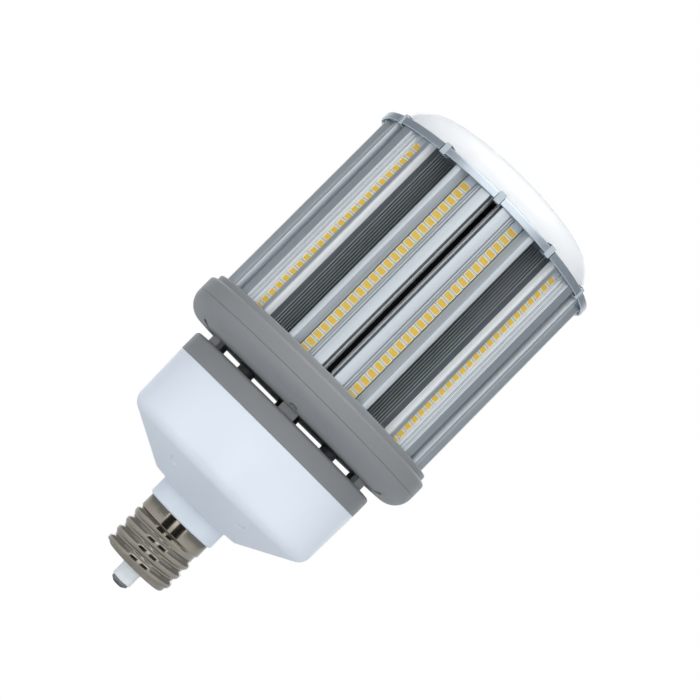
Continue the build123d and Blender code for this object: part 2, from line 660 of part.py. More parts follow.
def wire_tube():
    """Tube across the vent gap, hung by its flange on the collar's tray."""
    inside = TUBE_RADIUS - TUBE_WALL
    return turned(
        (inside, TUBE_BOTTOM_Z, 0),
        (TUBE_RADIUS, TUBE_BOTTOM_Z, 0),
        (TUBE_RADIUS, TRAY_Z, 0),
        (TUBE_FLANGE_RADIUS, TRAY_Z, 0),
        (TUBE_FLANGE_RADIUS, TRAY_Z + TUBE_FLANGE_THICKNESS, 0),
        (TUBE_RADIUS, TRAY_Z + TUBE_FLANGE_THICKNESS, 0),
        (TUBE_RADIUS, TUBE_TOP_Z, 0),
        (inside, TUBE_TOP_Z, 0),
    )


def driver_board():
    """Round board on the pillars, with holes for the leads from the base."""
    top = DRIVER_Z + DRIVER_BOARD_THICKNESS
    board = upright(DRIVER_BOARD_RADIUS, DRIVER_Z, top)
    for place in around(PILLAR_COUNT, PILLAR_CIRCLE_RADIUS, first=180 / PILLAR_COUNT):
        board -= upright(SCREW_RADIUS, DRIVER_Z, top, place)
    return board


def driver_transformer():
    """Wound transformer: a bobbin block with a ferrite core round its middle."""
    width, depth, height = TRANSFORMER_SIZE
    x, y = TRANSFORMER_PLACE
    base_z = DRIVER_Z + DRIVER_BOARD_THICKNESS
    core = Box(TRANSFORMER_CORE_WIDTH, depth, height)
    bobbin = Box(width, BOBBIN_DEPTH, BOBBIN_HEIGHT)
    lift = Pos(x, y, base_z + height / 2)
    return lift * core + Pos(x, y, base_z + BOBBIN_HEIGHT / 2) * bobbin


def driver_capacitors():
    """Electrolytic cans that stand on the board."""
    base_z = DRIVER_Z + DRIVER_BOARD_THICKNESS
    return [
        upright(CAPACITOR_RADIUS, base_z, base_z + CAPACITOR_HEIGHT, place)
        for place in CAPACITOR_PLACES
    ]


def driver_choke():
    """Ring core choke that lies on the board."""
    base_z = DRIVER_Z + DRIVER_BOARD_THICKNESS
    top_z = base_z + CHOKE_HEIGHT
    ring = upright(CHOKE_RADIUS, base_z, top_z, CHOKE_PLACE)
    return ring - upright(CHOKE_BORE_RADIUS, base_z, top_z, CHOKE_PLACE)


def live_lead():
    """Straight wire from the contact's shank to the driver board."""
    return upright(LEAD_RADIUS, SHANK_TOP_Z, DRIVER_Z)


def neutral_lead():
    """Wire from the shell's wall up through the neck to the driver board."""
    start = ((THREAD_ROOT_RADIUS - SHELL_WALL) ** 2 - LEAD_RADIUS**2) ** 0.5
    run = PLUG_RADIUS - HOUSING_WALL - 4 * LEAD_RADIUS
    low_z = PLUG_Z - 4 * LEAD_BEND
    return lead(
        (start, 0, low_z),
        (run, 0, low_z),
        (run, 0, DRIVER_Z),
        bends=min(LEAD_BEND, start - run - 0.1),
    )


def output_cable():
    """Sheathed cable from the driver board through the tube to the top board."""
    low = DRIVER_Z + DRIVER_BOARD_THICKNESS
    high = PLATE_TOP_Z + TOP_BOARD_THICKNESS
    return upright(CABLE_RADIUS, low, high)


def driver_screws():
    """Screws through the driver board into the pillars."""
    seat = DRIVER_Z + DRIVER_BOARD_THICKNESS
    length = DRIVER_BOARD_THICKNESS + SCREW_GRIP
    places = around(PILLAR_COUNT, PILLAR_CIRCLE_RADIUS, first=180 / PILLAR_COUNT)
    return [screw(place, seat, True, length) for place in places]


def housing_screws():
    """Screws from under the cover's top into the collar's bosses."""
    length = COVER_TOP_THICKNESS + SCREW_GRIP
    places = around(POST_COUNT, BOSS_CIRCLE_RADIUS)
    return [screw(place, COVER_FLOOR_Z, False, length) for place in places]


def collar_screws():
    """Screws in the recesses of the belly, up into the upper collar."""
    length = COLLAR_WALL + SCREW_GRIP
    places = around(RECESS_COUNT, RECESS_CIRCLE_RADIUS)
    return [screw(place, RECESS_TOP_Z, False, length) for place in places]


def foot_screws():
    """Screws up through the deck into the ports of the extrusions."""
    one = screw((0, -PORT_DISTANCE), DECK_Z - DECK_THICKNESS, False)
    return [facing(angle, one) for angle in PANEL_ANGLES]


def end_plate_screws():
    """Screws down through the end plate into the ports of the extrusions."""
    one = screw((0, -PORT_DISTANCE), PLATE_TOP_Z, True)
    return [facing(angle, one) for angle in PANEL_ANGLES]


def pieces():
    """Every piece of the lamp by name."""
    named = {
        "centre_contact": centre_contact(),
        "contact_insulator": contact_insulator(),
        "screw_shell": screw_shell(),
        "driver_housing": driver_housing(),
        "housing_cover": housing_cover(),
        "collar_lower": collar_lower(),
        "collar_upper": collar_upper(),
        "end_plate": end_plate(),
        "dome_lens": dome_lens(),
        "top_led_board": top_led_board(),
        "wire_tube": wire_tube(),
        "driver_board": driver_board(),
        "driver_transformer": driver_transformer(),
        "driver_choke": driver_choke(),
        "live_lead": live_lead(),
        "neutral_lead": neutral_lead(),
        "output_cable": output_cable(),
        "driver_capacitors": group(driver_capacitors()),
        "top_led_chips": group(top_led_chips()),
        "driver_screws": group(driver_screws()),
        "housing_screws": group(housing_screws()),
        "collar_screws": group(collar_screws()),
        "foot_screws": group(foot_screws()),
        "end_plate_screws": group(end_plate_screws()),
    }
    sink, board, chips = heat_sink(), led_board(), group(led_chips())
    handed = [sink, mirror(sink, about=Plane.YZ)]
    for number, angle in enumerate(PANEL_ANGLES, start=1):
        named[f"heat_sink_{number:02d}"] = facing(angle, handed[(number - 1) % 2])
        named[f"led_board_{number:02d}"] = facing(angle, board)
        named[f"led_chips_{number:02d}"] = facing(angle, chips)
    return named


os.makedirs("parts", exist_ok=True)
for name, piece in pieces().items():
    export_step(piece, f"parts/{name}.step")
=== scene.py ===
from math import asin, atan2, ceil, cos, pi, radians, sin, tan

import bpy
import numpy as np
from mathutils import Matrix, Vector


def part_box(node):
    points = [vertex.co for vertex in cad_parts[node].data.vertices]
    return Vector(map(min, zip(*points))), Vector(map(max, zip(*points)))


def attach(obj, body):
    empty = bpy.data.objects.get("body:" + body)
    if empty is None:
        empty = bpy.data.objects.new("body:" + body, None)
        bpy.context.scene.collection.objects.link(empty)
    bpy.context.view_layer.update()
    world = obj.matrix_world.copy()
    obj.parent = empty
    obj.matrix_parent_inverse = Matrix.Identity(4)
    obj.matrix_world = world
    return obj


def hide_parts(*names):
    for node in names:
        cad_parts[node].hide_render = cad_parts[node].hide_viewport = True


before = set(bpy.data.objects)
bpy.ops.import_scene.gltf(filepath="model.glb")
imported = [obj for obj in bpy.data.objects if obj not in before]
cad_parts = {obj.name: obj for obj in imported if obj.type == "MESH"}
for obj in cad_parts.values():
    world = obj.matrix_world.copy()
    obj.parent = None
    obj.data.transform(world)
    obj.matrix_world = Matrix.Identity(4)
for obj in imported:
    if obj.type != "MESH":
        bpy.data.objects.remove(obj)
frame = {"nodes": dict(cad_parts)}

bl_info = {
    "name": "Corn Lamp",
    "version": (1, 0, 0),
    "blender": (4, 5, 0),
    "location": "3D View > Sidebar > Corn Lamp",
    "description": "Finished surfaces for an LED corn lamp with a mogul screw base, and its studio",
    "category": "Object",
}

MM = 0.001
PANELS = 12
WELD_DECIMALS = 7
SLAB_POINTS = 8
# Sockets of a Mix node in colour mode: its two colours and its result
COLOUR_A, COLOUR_B, COLOUR_RESULT = 6, 7, 2
# Rings of the floor, its distance below the contact and its sides, in metres
FLOOR_RINGS, FLOOR_DROP, FLOOR_SIDES = (0.0, 0.3, 1.0, 3.0, 8.0), 0.0003, 48
# Soft boxes: name, strength, place, width, height, and whether reflections show them
BOXES = (
    ("front_box", "front", (0.0, -1.6, 0.5), 2.6, 1.5, True),
    ("top_box", "top", (0.0, -0.5, 1.5), 1.6, 1.4, True),
    ("back_box", "back", (0.0, 1.6, 0.6), 2.0, 1.2, True),
    ("fill_-1", "fill", (-1.3, -0.5, 0.3), 1.6, 1.6, False),
    ("fill_+1", "fill", (1.3, -0.5, 0.3), 1.6, 1.6, False),
)
BOX_AIM = 0.15
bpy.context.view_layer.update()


def linear(code):
    """Scene-linear red, green, blue and alpha from an sRGB hex code."""
    channels = [int(code[start:start + 2], 16) / 255 for start in (1, 3, 5)]
    curve = [c / 12.92 if c <= 0.04045 else ((c + 0.055) / 1.055) ** 2.4 for c in channels]
    return (*curve, 1.0)


def length(label, note, millimetres):
    """Distance property, given here in millimetres and held in metres."""
    return bpy.props.FloatProperty(
        name=label, description=note, default=millimetres * MM, min=0.0, precision=5,
        unit="LENGTH", subtype="DISTANCE",
    )


def metres(label, note, value):
    """Distance property for the stage, given in metres."""
    return bpy.props.FloatProperty(name=label, description=note, default=value, unit="LENGTH")


def angle(label, note, degrees):
    """Angle property, given here in degrees and held in radians."""
    return bpy.props.FloatProperty(
        name=label, description=note, default=radians(degrees), unit="ROTATION", subtype="ANGLE"
    )


def ratio(label, note, value):
    """Number without a unit."""
    return bpy.props.FloatProperty(name=label, description=note, default=value)


def tally(label, note, value):
    """Whole number."""
    return bpy.props.IntProperty(name=label, description=note, default=value)


def colour(label, note, code):
    """Colour property from an sRGB hex code."""
    return bpy.props.FloatVectorProperty(
        name=label, description=note, default=linear(code), size=4, min=0.0, max=1.0, subtype="COLOR"
    )


def power(label, note, watts):
    """Strength of a soft box."""
    return bpy.props.FloatProperty(name=label, description=note, default=watts, min=0.0, unit="POWER")


class BaseSizes(bpy.types.PropertyGroup):
    """Screw shell, insulator and centre contact."""

    pitch: length("Thread pitch", "Rise of the thread in one turn", 6.35)
    crest: length("Crest radius", "Radius at the top of the thread", 19.75)
    root: length("Root radius", "Radius at the bottom of the thread", 18.35)
    turns: ratio("Turns", "Length of the thread in turns", 3.4)
    runout: ratio("Run-out", "Turns over which the thread dies out", 0.16)
    start: length("Thread start", "Height of the first crest", 14.1)
    start_angle: angle("Start angle", "Where the thread begins, from +X", 150)
    end: length("Shell end", "Height of the shell's lower end", 12.0)
    end_bend: length("End bend", "Radius at the shell's lower edge", 2.0)
    mouth: length("Mouth radius", "Opening in the shell's end", 14.0)
    skirt: length("Skirt radius", "Smooth band above the thread", 19.2)
    skirt_height: length("Skirt height", "Height of the smooth band", 8.2)
    wall: length("Sheet", "Thickness of the shell's sheet", 0.7)
    top: length("Shell top", "Height of the shell's upper edge", 44.6)
    contact: length("Contact radius", "Widest radius of the centre contact", 4.9)
    contact_height: length("Contact height", "Height of the contact's button", 2.8)
    nose: length("Nose radius", "Flat at the contact's tip", 2.6)
    nose_height: length("Nose height", "From the tip to the contact's widest part", 1.5)
    shank: length("Shank radius", "Pin through the insulator", 1.5)
    shank_rise: length("Shank rise", "How far the pin goes past the disc's thickness", 1.0)
    taper: length("Taper", "From the foot of the stub's taper to the shell's end", 2.4)
    stub_step: length("Stub step", "Step where the stub meets the shell", 0.2)
    stub: length("Stub radius", "Insulator round the contact", 5.6)
    stub_root: length("Stub root radius", "Insulator where it meets the shell", 6.3)
    disc: length("Disc thickness", "Insulator inside the shell", 2.4)


class HousingSizes(bpy.types.PropertyGroup):
    """White cup that holds the driver."""

    wall: length("Wall", "Thickness of the moulding", 2.3)
    plug: length("Plug radius", "Part that sits in the shell's skirt", 18.5)
    plug_bottom: length("Plug bottom", "Height where the plug begins", 37.65)
    neck: length("Neck radius", "Round neck above the shell", 20.6)
    neck_top: length("Neck top", "Height where the cone begins", 55.5)
    cone_foot: length("Cone foot", "Radius where the cone begins", 27.7)
    cone: angle("Cone", "Rise of the cone above level", 27.6)
    foot: length("Foot radius", "Radius above the rounded corner", 59.3)
    rim: length("Rim radius", "Radius at the open end", 60.3)
    rim_height: length("Rim height", "Height of the open end", 106.2)
    corner: length("Corner", "Radius between cone and wall", 8.0)
    dimple: length("Dimple radius", "Round marks in the cone", 2.4)
    dimple_depth: length("Dimple depth", "Depth of the round marks", 0.8)
    dimple_circle: length("Dimple circle", "Radius of the circle of marks", 45.0)


class CollarSizes(bpy.types.PropertyGroup):
    """Grey cover, vent gap and two-part collar."""

    cover_top: length("Cover top", "Height of the cover's upper face", 117.7)
    cover_bend: length("Cover edge", "Radius of the cover's upper edge", 2.0)
    cover_wall: length("Cover wall", "Thickness of the cover's top", 2.6)
    spigot_gap: length("Spigot clearance", "Between the cover's spigot and the cup", 0.2)
    spigot_depth: length("Spigot depth", "How far the spigot goes into the cup", 4.5)
    spigot_wall: length("Spigot wall", "Thickness of the spigot", 1.8)
    tube_hole: length("Tube hole", "Hole in the cover for the wire tube", 7.7)
    lip_gap: length("Lip clearance", "Between the upper part's lip and the lower part", 0.15)
    lip_wall: length("Lip wall", "Thickness of the lip", 1.6)
    lip_depth: length("Lip depth", "How far the lip goes below the parting", 2.2)
    parting: length("Parting", "Height of the line between the collar's parts", 133.7)
    groove: length("Groove", "Depth of the line between the collar's parts", 0.25)
    shoulder: length("Shoulder", "Height of the collar's step", 142.6)
    shoulder_bend: length("Shoulder bend", "Radius of the collar's step", 1.9)
    shoulder_width: length("Shoulder width", "Width of the collar's step", 2.8)
    rim: length("Rim", "Height of the collar's rim", 145.9)
    wall: length("Wall", "Thickness of the collar's mouldings", 2.6)
    rim_wall: length("Rim wall", "Thickness of the rim round the heat sinks", 2.35)
    deck: length("Deck", "Height of the face that the heat sinks stand on", 143.5)
    deck_wall: length("Deck thickness", "Thickness of that face", 3.0)
    opening: length("Opening", "Hole in the middle of the deck", 24.0)


class SinkSizes(bpy.types.PropertyGroup):
    """Aluminium extrusions."""

    pair_angle: angle("Pair angle", "Half the angle between two neighbours", 14.2)
    distance: length("Distance", "From the axis to the wings", 68.0)
    inner_wing: length("Inner wing", "Edge of the wing on the side of the pair's gap", 13.0)
    outer_wing: length("Outer wing", "Edge of the other wing", 9.7)
    inner_slope: length("Inner slope", "Where the inner wing begins", 7.2)
    outer_slope: length("Outer slope", "Where the outer wing begins", 6.5)
    sheet: length("Sheet", "Thickness of the wings", 1.6)
    side_depth: length("Side depth", "Depth of the walls at the wings' edges", 5.0)
    side_wall: length("Side wall", "Thickness of those walls", 1.1)
    channel: length("Channel", "Width of the board's channel", 6.0)
    channel_depth: length("Channel depth", "From the wings to the channel's floor", 5.7)
    channel_lip: length("Channel lip", "From the wings to the channel's lips", 3.2)
    channel_wall: length("Channel wall", "Thickness beside the channel", 1.6)
    floor: length("Floor", "Thickness under the channel", 2.0)
    rib: length("Rib", "Width of the ribs on the inner slope", 0.8)
    ribs: tally("Ribs", "Ribs on the inner slope", 2)
    web: length("Web", "Thickness of the web behind the face", 2.2)
    fin: length("Fin", "Thickness of a fin", 0.8)
    fin_pitch: length("Fin pitch", "Distance between fins", 1.8)
    fins: tally("Fins", "Fins behind each face", 18)
    fin_gap: length("Fin gap", "Room between neighbours' fins", 2.5)
    fin_setback: length("Fin setback", "From a wing's edge to the fins' ends", 0.2)
    port: length("Port radius", "Bead in the web that holds the screws", 3.2)
    port_distance: length("Port distance", "From the axis to the screws", 35.1)


class LedSizes(bpy.types.PropertyGroup):
    """LED boards and their chips."""

    board: length("Board", "Thickness of a board", 1.0)
    side_gap: length("Side gap", "Room beside a board in its channel", 0.2)
    bevel: length("Bevel", "Worn edge of a board", 0.1)
    count: tally("Chips", "Chips on each board", 24)
    pitch: length("Chip pitch", "Distance between chips", 4.72)
    chip_width: length("Chip width", "Across the board", 4.9)
    chip_length: length("Chip length", "Along the board", 3.5)
    chip_height: length("Chip height", "Above the board", 0.7)
    frame: length("Chip frame", "White edge round the phosphor", 0.16)
    well: length("Chip well", "Depth of the phosphor below the frame", 0.12)
    top: length("Top chip", "Height of the highest chip", 254.6)


class EndSizes(bpy.types.PropertyGroup):
    """End plate and dome."""

    notch_width: length("Notch width", "Width of the notches in the plate", 4.0)
    notch_depth: length("Notch depth", "Depth of the notches in the plate", 4.9)
    plate: length("Plate", "Thickness of the plate", 2.5)
    plate_rim: length("Plate rim", "Height of the plate's rim", 4.2)
    rim_wall: length("Rim wall", "Thickness of the plate's rim", 1.2)
    wire_hole: length("Wire hole", "Hole in the middle of the plate", 6.0)
    dome: length("Dome radius", "Outside radius of the dome's wall", 62.5)
    crown: length("Crown radius", "Radius of the dome's flat crown", 172.0)
    dome_shoulder: length("Dome shoulder", "Radius between crown and wall", 14.0)
    dome_wall: length("Dome wall", "Thickness of the dome", 1.8)
    flange: length("Flange radius", "Foot of the dome", 65.2)
    flange_height: length("Flange thickness", "Thickness of the dome's foot", 1.1)
    hook_gap: length("Hook clearance", "Room beside a hook in its notch", 0.3)
    hook_setback: length("Hook setback", "From the plate's edge to a hook's outer face", 0.6)
    barb: length("Barb", "How far a hook's barb reaches in", 1.2)


class Finishes(bpy.types.PropertyGroup):
    """Colours of the lamp's materials."""

    nickel: colour("Nickel", "Plated screw shell", "#A79F92")
    solder: colour("Solder", "Centre contact", "#A2A4A3")
    insulator: colour("Insulator", "Glazed stub", "#EEF2F5")
    housing: colour("Housing", "White moulding", "#D4DBE3")
    collar: colour("Collar", "Grey mouldings", "#787B7D")
    aluminium: colour("Aluminium", "Extrusions", "#C4CACE")
    # Near-white paint on the extrusions' outer side walls, a channel wall and a fin: a painted highlight for
    # the front light they reflect
    painted_highlight: colour("Painted highlight", "Pale walls of the extrusions", "#FBFEFF")
    plate: colour("Plate", "End plate", "#C6CFD7")
    board: colour("Board", "White mask", "#B4BFC8")
    frame: colour("Chip frame", "White frame of a chip", "#F3EBD2")
    phosphor: colour("Phosphor", "Window of a chip", "#CEAC46")
    dome: colour("Dome", "Frosted lens", "#FCFDFE")
    hook: colour("Hooks", "Clear foot and hooks of the dome, over metal", "#AAB3BA")


class StageSettings(bpy.types.PropertyGroup):
    """Camera and light."""

    distance: metres("Distance", "From the axis to the camera", 1.006)
    height: metres("Height", "Camera above the contact", 0.0983)
    aim: metres("Aim", "Height that the camera is turned to", 0.1649)
    offset: metres("Offset", "Camera to the right of the axis", 0.00035)
    roll: angle("Roll", "Turn of the camera about its view", 44.8)
    lens: ratio("Lens", "Focal length in millimetres", 102.857)
    front: power("Front box", "Wide soft box behind the camera", 14)
    back: power("Back box", "Soft box behind the lamp", 9)
    top: power("Top box", "Soft box over the lamp", 16)
    fill: power("Side fill", "Soft light from either side, unseen in reflections", 10)
    card_distance: metres("Card distance", "From the axis to the black cards", 0.12)
    card_gap: metres("Card gap", "From the middle to a black card", 0.012)
    card_width: metres("Card width", "Width of a black card", 0.06)
    card_height: metres("Card height", "Height of a black card", 0.09)
    room: ratio("Room", "Strength of the room's grey", 0.7)


GROUPS = {
    "lamp_base": BaseSizes,
    "lamp_housing": HousingSizes,
    "lamp_collar": CollarSizes,
    "lamp_sinks": SinkSizes,
    "lamp_leds": LedSizes,
    "lamp_end": EndSizes,
    "lamp_finishes": Finishes,
    "lamp_stage": StageSettings,
}


# Surfaces

def unit(vector):
    """Vector of length one."""
    return vector / np.linalg.norm(vector)


def rounded(corners, steps=6):
    """Closed outline through corners (x, y, bend).

    A bend is an arc that touches both sides of its corner. With h half the angle between
    the sides, it begins bend / tan(h) along each side, and its centre lies bend / sin(h)
    along the line that halves the angle.
    """
    points = []
    for index, (x, y, bend) in enumerate(corners):
        here = np.array((x, y))
        if bend == 0:
            points.append(here[None])
            continue
        before = unit(np.array(corners[index - 1][:2]) - here)
        after = unit(np.array(corners[(index + 1) % len(corners)][:2]) - here)
        half = np.arccos(np.clip(before @ after, -1, 1)) / 2
        centre = here + unit(before + after) * bend / sin(half)
        first, last = (here + side * bend / tan(half) - centre for side in (before, after))
        turn = atan2(first[0] * last[1] - first[1] * last[0], first @ last)
        angles = atan2(first[1], first[0]) + turn * np.linspace(0, 1, steps + 1)
        points.append(centre + bend * np.column_stack((np.cos(angles), np.sin(angles))))
    outline = np.vstack(points)
    x, y = outline.T
    area = (x * np.roll(y, -1) - y * np.roll(x, -1)).sum()
    return outline if area > 0 else outline[::-1]


def refined(outline, step, low=-1.0, high=1.0):
    """Outline with points added so that no run is longer than step.

    Only runs whose middle has its first coordinate between low and high are divided.
    """
    parts = []
    for start, end in zip(outline, np.roll(outline, -1, axis=0)):
        middle = (start[0] + end[0]) / 2
        count = max(1, ceil(np.linalg.norm(end - start) / step)) if low <= middle <= high else 1
        share = np.arange(count)[:, None] / count
        parts.append(start + share * (end - start))
    return np.vstack(parts)


def wheel(radius, height, angles):
    """Points at a radius and height round the axis; angle 0 faces -Y and turns towards +X."""
    x = radius * np.sin(angles)
    y = -radius * np.cos(angles)
    return np.stack(np.broadcast_arrays(x, y, height), axis=-1)


def faced(points, turn):
    """Points drawn facing -Y, turned round the axis towards +X."""
    x, y, z = np.moveaxis(points, -1, 0)
    return np.stack((x * cos(turn) - y * sin(turn), x * sin(turn) + y * cos(turn), z), axis=-1)


def grid_quads(rows, columns, first=0, wrap_rows=True, wrap_columns=True):
    """Corner numbers of the quads of a grid of points, wrapped round where asked."""
    row = np.arange(rows if wrap_rows else rows - 1)
    column = np.arange(columns if wrap_columns else columns - 1)
    row, column = (part.ravel() for part in np.meshgrid(row, column, indexing="ij"))
    next_row, next_column = (row + 1) % rows, (column + 1) % columns
    corners = (row, column), (row, next_column), (next_row, next_column), (next_row, column)
    return first + np.stack([r * columns + c for r, c in corners], axis=1)


def welded(points, quads):
    """Merges equal points and turns quads that lost a corner into triangles.

    Gives the points, the faces, each old point's new number and each face's old number.
    """
    points, new = np.unique(np.round(points.reshape(-1, 3), WELD_DECIMALS), axis=0, return_inverse=True)
    new = new.ravel()
    quads = new[quads]
    same = quads == np.roll(quads, -1, axis=1)
    lost = same.sum(axis=1)
    triangles = quads[lost == 1][~same[lost == 1]].reshape(-1, 3)
    order = np.concatenate((np.flatnonzero(lost == 0), np.flatnonzero(lost == 1)))
    return points, quads[lost == 0].tolist() + triangles.tolist(), new, order


def piece(name, points, faces, materials, face_materials=None, crease=35):
    """Mesh object at the origin, smooth but for edges that turn by more than crease degrees."""
    mesh = bpy.data.meshes.new(name)
    mesh.from_pydata(points, [], faces)
    for material in materials:
        mesh.materials.append(material)
    if face_materials is not None:
        mesh.polygons.foreach_set("material_index", face_materials)
    mesh.shade_smooth()
    mesh.set_sharp_from_angle(angle=radians(crease))
    mesh.validate()
    mesh.update()
    made = bpy.data.objects.new(name, mesh)
    bpy.context.scene.collection.objects.link(made)
    return made


def seat(made, slot, *nodes):
    """Hangs a piece under the root body and hides the nodes that it stands for; the finish given as slot is
    not used.
    """
    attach(made, "root")
    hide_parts(*nodes)
    return made


def dress(material, *nodes):
    """Gives CAD nodes that stay in view a material."""
    for name in nodes:
        node = frame["nodes"][name]
        if not node.material_slots:
            node.data.materials.append(material)
        for slot in node.material_slots:
            slot.material = material


def turned(name, outline, material, segments=144, radius=None, height=None, angles=None):
    """Surface of revolution: every point (radius, height) of the outline goes once round."""
    if angles is None:
        angles = np.arange(segments) * 2 * pi / segments
    radius = outline[:, :1] if radius is None else radius
    height = outline[:, 1:] if height is None else height
    points = wheel(radius, height, angles[None, :])
    points, faces, *_ = welded(points, grid_quads(*points.shape[:2]))
    return piece(name, points, faces, [material])


def places_round(count, half_width, fine, coarse, first=0.0):
    """Angles round the axis, close together near count evenly spaced places."""
    step = 2 * pi / count
    near = np.linspace(-half_width, half_width, fine)
    far = np.linspace(half_width, step - half_width, coarse + 2)[1:-1]
    centres = first + np.arange(count)[:, None] * step
    return (centres + np.concatenate((near, far))[None, :]).ravel()


def stepped(name, plain, special, first_row, last_row, count, half_width, materials, coarse=8):
    """Surface of revolution with another outline in count narrow sectors.

    Both outlines have as many points and differ only between first_row and last_row. Where
    they change over, the area between them is closed by one flat face. The last material
    is for the sectors' own faces between those rows.
    """
    step = 2 * pi / count
    far = np.linspace(half_width, step - half_width, coarse + 2)
    near = np.linspace(-half_width, half_width, 3)
    angles = (np.arange(count)[:, None] * step + np.concatenate((near, far))[None, :]).ravel()
    inside = np.tile(np.concatenate((np.ones(3, bool), np.zeros(coarse + 2, bool))), count)
    outline = np.where(inside[None, :, None], special[:, None, :], plain[:, None, :])
    points = wheel(outline[..., 0], outline[..., 1], angles[None, :])
    rows, columns = len(plain), inside.size
    quads = grid_quads(rows, columns)
    row, column = np.divmod(quads[:, 0], columns)
    own = inside[column] & (row >= first_row) & (row < last_row)
    whole = inside[column] == inside[(column + 1) % columns]
    points, faces, new, order = welded(points, quads[whole])
    finish = own[whole][order].tolist()
    for left in np.flatnonzero(inside != np.roll(inside, -1)):
        right = (left + 1) % columns
        one, other = (left, right) if inside[right] else (right, left)
        up = [new[row * columns + one] for row in range(first_row, last_row + 1)]
        down = [new[row * columns + other] for row in range(last_row - 1, first_row, -1)]
        loop = [corner for at, corner in enumerate(up + down) if corner != (up + down)[at - 1]]
        faces.append(loop[::-1] if inside[right] else loop)
        finish.append(True)
    return piece(name, points, faces, materials, np.array(finish, np.int32) * (len(materials) - 1))


def extruded(name, outline, bottom, top, turn, materials, bright):
    """Outline in the plane carried straight up, closed by a flat face at each end.

    The runs of the outline that bright marks have the second material, which paints a highlight on them.
    """
    count = len(outline)
    flat = np.column_stack((outline, np.zeros(count)))
    points = faced(np.stack((flat + (0, 0, bottom), flat + (0, 0, top))), turn)
    sides = grid_quads(2, count, wrap_rows=False).tolist()
    ends = [list(range(count))[::-1], list(range(count, 2 * count))]
    finish = np.concatenate((bright, [False, False])).astype(np.int32)
    return piece(name, points.reshape(-1, 3), sides + ends, materials, finish)


# Materials

def add_node(tree, kind, inputs=None, **settings):
    """Adds a node; inputs are values or other nodes' outputs, settings are its options."""
    node = tree.nodes.new(kind)
    for option, value in settings.items():
        setattr(node, option, value)
    for socket, value in (inputs or {}).items():
        if isinstance(value, bpy.types.NodeSocket):
            tree.links.new(value, node.inputs[socket])
        else:
            node.inputs[socket].default_value = value
    return node


def per(millimetres):
    """Texture scale on Object coordinates for a pattern of that size."""
    return 1 / (millimetres * MM)


def noise(tree, vector, millimetres, detail=3.0):
    """Noise pattern with marks of about that size."""
    inputs = {"Vector": vector, "Scale": per(millimetres), "Detail": detail}
    return add_node(tree, "ShaderNodeTexNoise", inputs).outputs["Fac"]


def shaded(name, **values):
    """Material with a Principled shader; its tree, shader and Object coordinates."""
    material = bpy.data.materials.new(name)
    material.use_nodes = True
    tree = material.node_tree
    shader = tree.nodes["Principled BSDF"]
    for socket, value in values.items():
        shader.inputs[socket.replace("_", " ")].default_value = value
    place = add_node(tree, "ShaderNodeTexCoord").outputs["Object"]
    return material, tree, shader, place


def shade(tone, factor):
    """A colour made lighter or darker by a factor."""
    return (*[min(1.0, channel * factor) for channel in tone[:3]], 1.0)


def vary(tree, shader, source, tone, low, high, rough_low, rough_high):
    """Lets a pattern move the colour and the roughness between two values each."""
    ends = {COLOUR_A: shade(tone, low), COLOUR_B: shade(tone, high)}
    mix = add_node(tree, "ShaderNodeMix", {"Factor": source, **ends}, data_type="RGBA")
    tree.links.new(mix.outputs[COLOUR_RESULT], shader.inputs["Base Color"])
    rough = add_node(
        tree, "ShaderNodeMapRange", {"Value": source, "To Min": rough_low, "To Max": rough_high}
    )
    tree.links.new(rough.outputs["Result"], shader.inputs["Roughness"])


def raise_by(tree, shader, source, depth, strength=1.0):
    """Bump of a real depth in metres."""
    bump = add_node(
        tree, "ShaderNodeBump", {"Height": source, "Distance": depth, "Strength": strength}
    )
    tree.links.new(bump.outputs["Normal"], shader.inputs["Normal"])


def moulded(name, tone, grain, depth, rough_low, rough_high, **values):
    """Moulded plastic: one even colour, a fine grain from the mould and faint flow marks."""
    material, tree, shader, place = shaded(name, **values)
    vary(tree, shader, noise(tree, place, 28, 2.0), tone, 0.97, 1.02, rough_low, rough_high)
    raise_by(tree, shader, noise(tree, place, grain), depth * MM, 0.35)
    return material


def plated_nickel(tone):
    """Nickel plate on rolled brass: warm bright metal, lines from the rolling, faint tarnish."""
    material, tree, shader, place = shaded("nickel_plated_brass", Metallic=1.0)
    flat = add_node(tree, "ShaderNodeMapping", {"Vector": place, "Scale": (1, 1, 14)})
    vary(tree, shader, noise(tree, place, 7, 5.0), tone, 0.84, 1.12, 0.08, 0.2)
    raise_by(tree, shader, noise(tree, flat.outputs[0], 9, 4.0), 0.03 * MM, 0.5)
    return material


def dull_solder(tone):
    """Tin solder on the contact: grey, soft-edged, a little lumpy."""
    material, tree, shader, place = shaded("tin_solder", Metallic=0.85)
    lumps = noise(tree, place, 1.6)
    vary(tree, shader, lumps, tone, 0.7, 1.15, 0.35, 0.55)
    raise_by(tree, shader, lumps, 0.15 * MM, 0.6)
    return material


def drawn_aluminium(name, tone, line, rough_low, rough_high, metallic=1.0):
    """Extruded aluminium, clear anodised: pale metal with fine lines along the lamp.

    The lines of the die are finer than a pixel, so they are drawn several times as wide.
    """
    material, tree, shader, place = shaded(name, Metallic=metallic)
    long = add_node(tree, "ShaderNodeMapping", {"Vector": place, "Scale": (1, 1, 0.012)})
    lines = noise(tree, long.outputs[0], line, 4.0)
    vary(tree, shader, lines, tone, 0.8, 1.12, rough_low, rough_high)
    raise_by(tree, shader, lines, 0.04 * MM, 0.5)
    return material


def sheet_aluminium(tone):
    """Pressed aluminium sheet with a satin blue-grey finish."""
    material, tree, shader, place = shaded("satin_aluminium_sheet", Metallic=1.0)
    grain = noise(tree, place, 1.2, 4.0)
    vary(tree, shader, grain, tone, 0.85, 1.1, 0.28, 0.45)
    raise_by(tree, shader, grain, 0.02 * MM, 0.4)
    return material


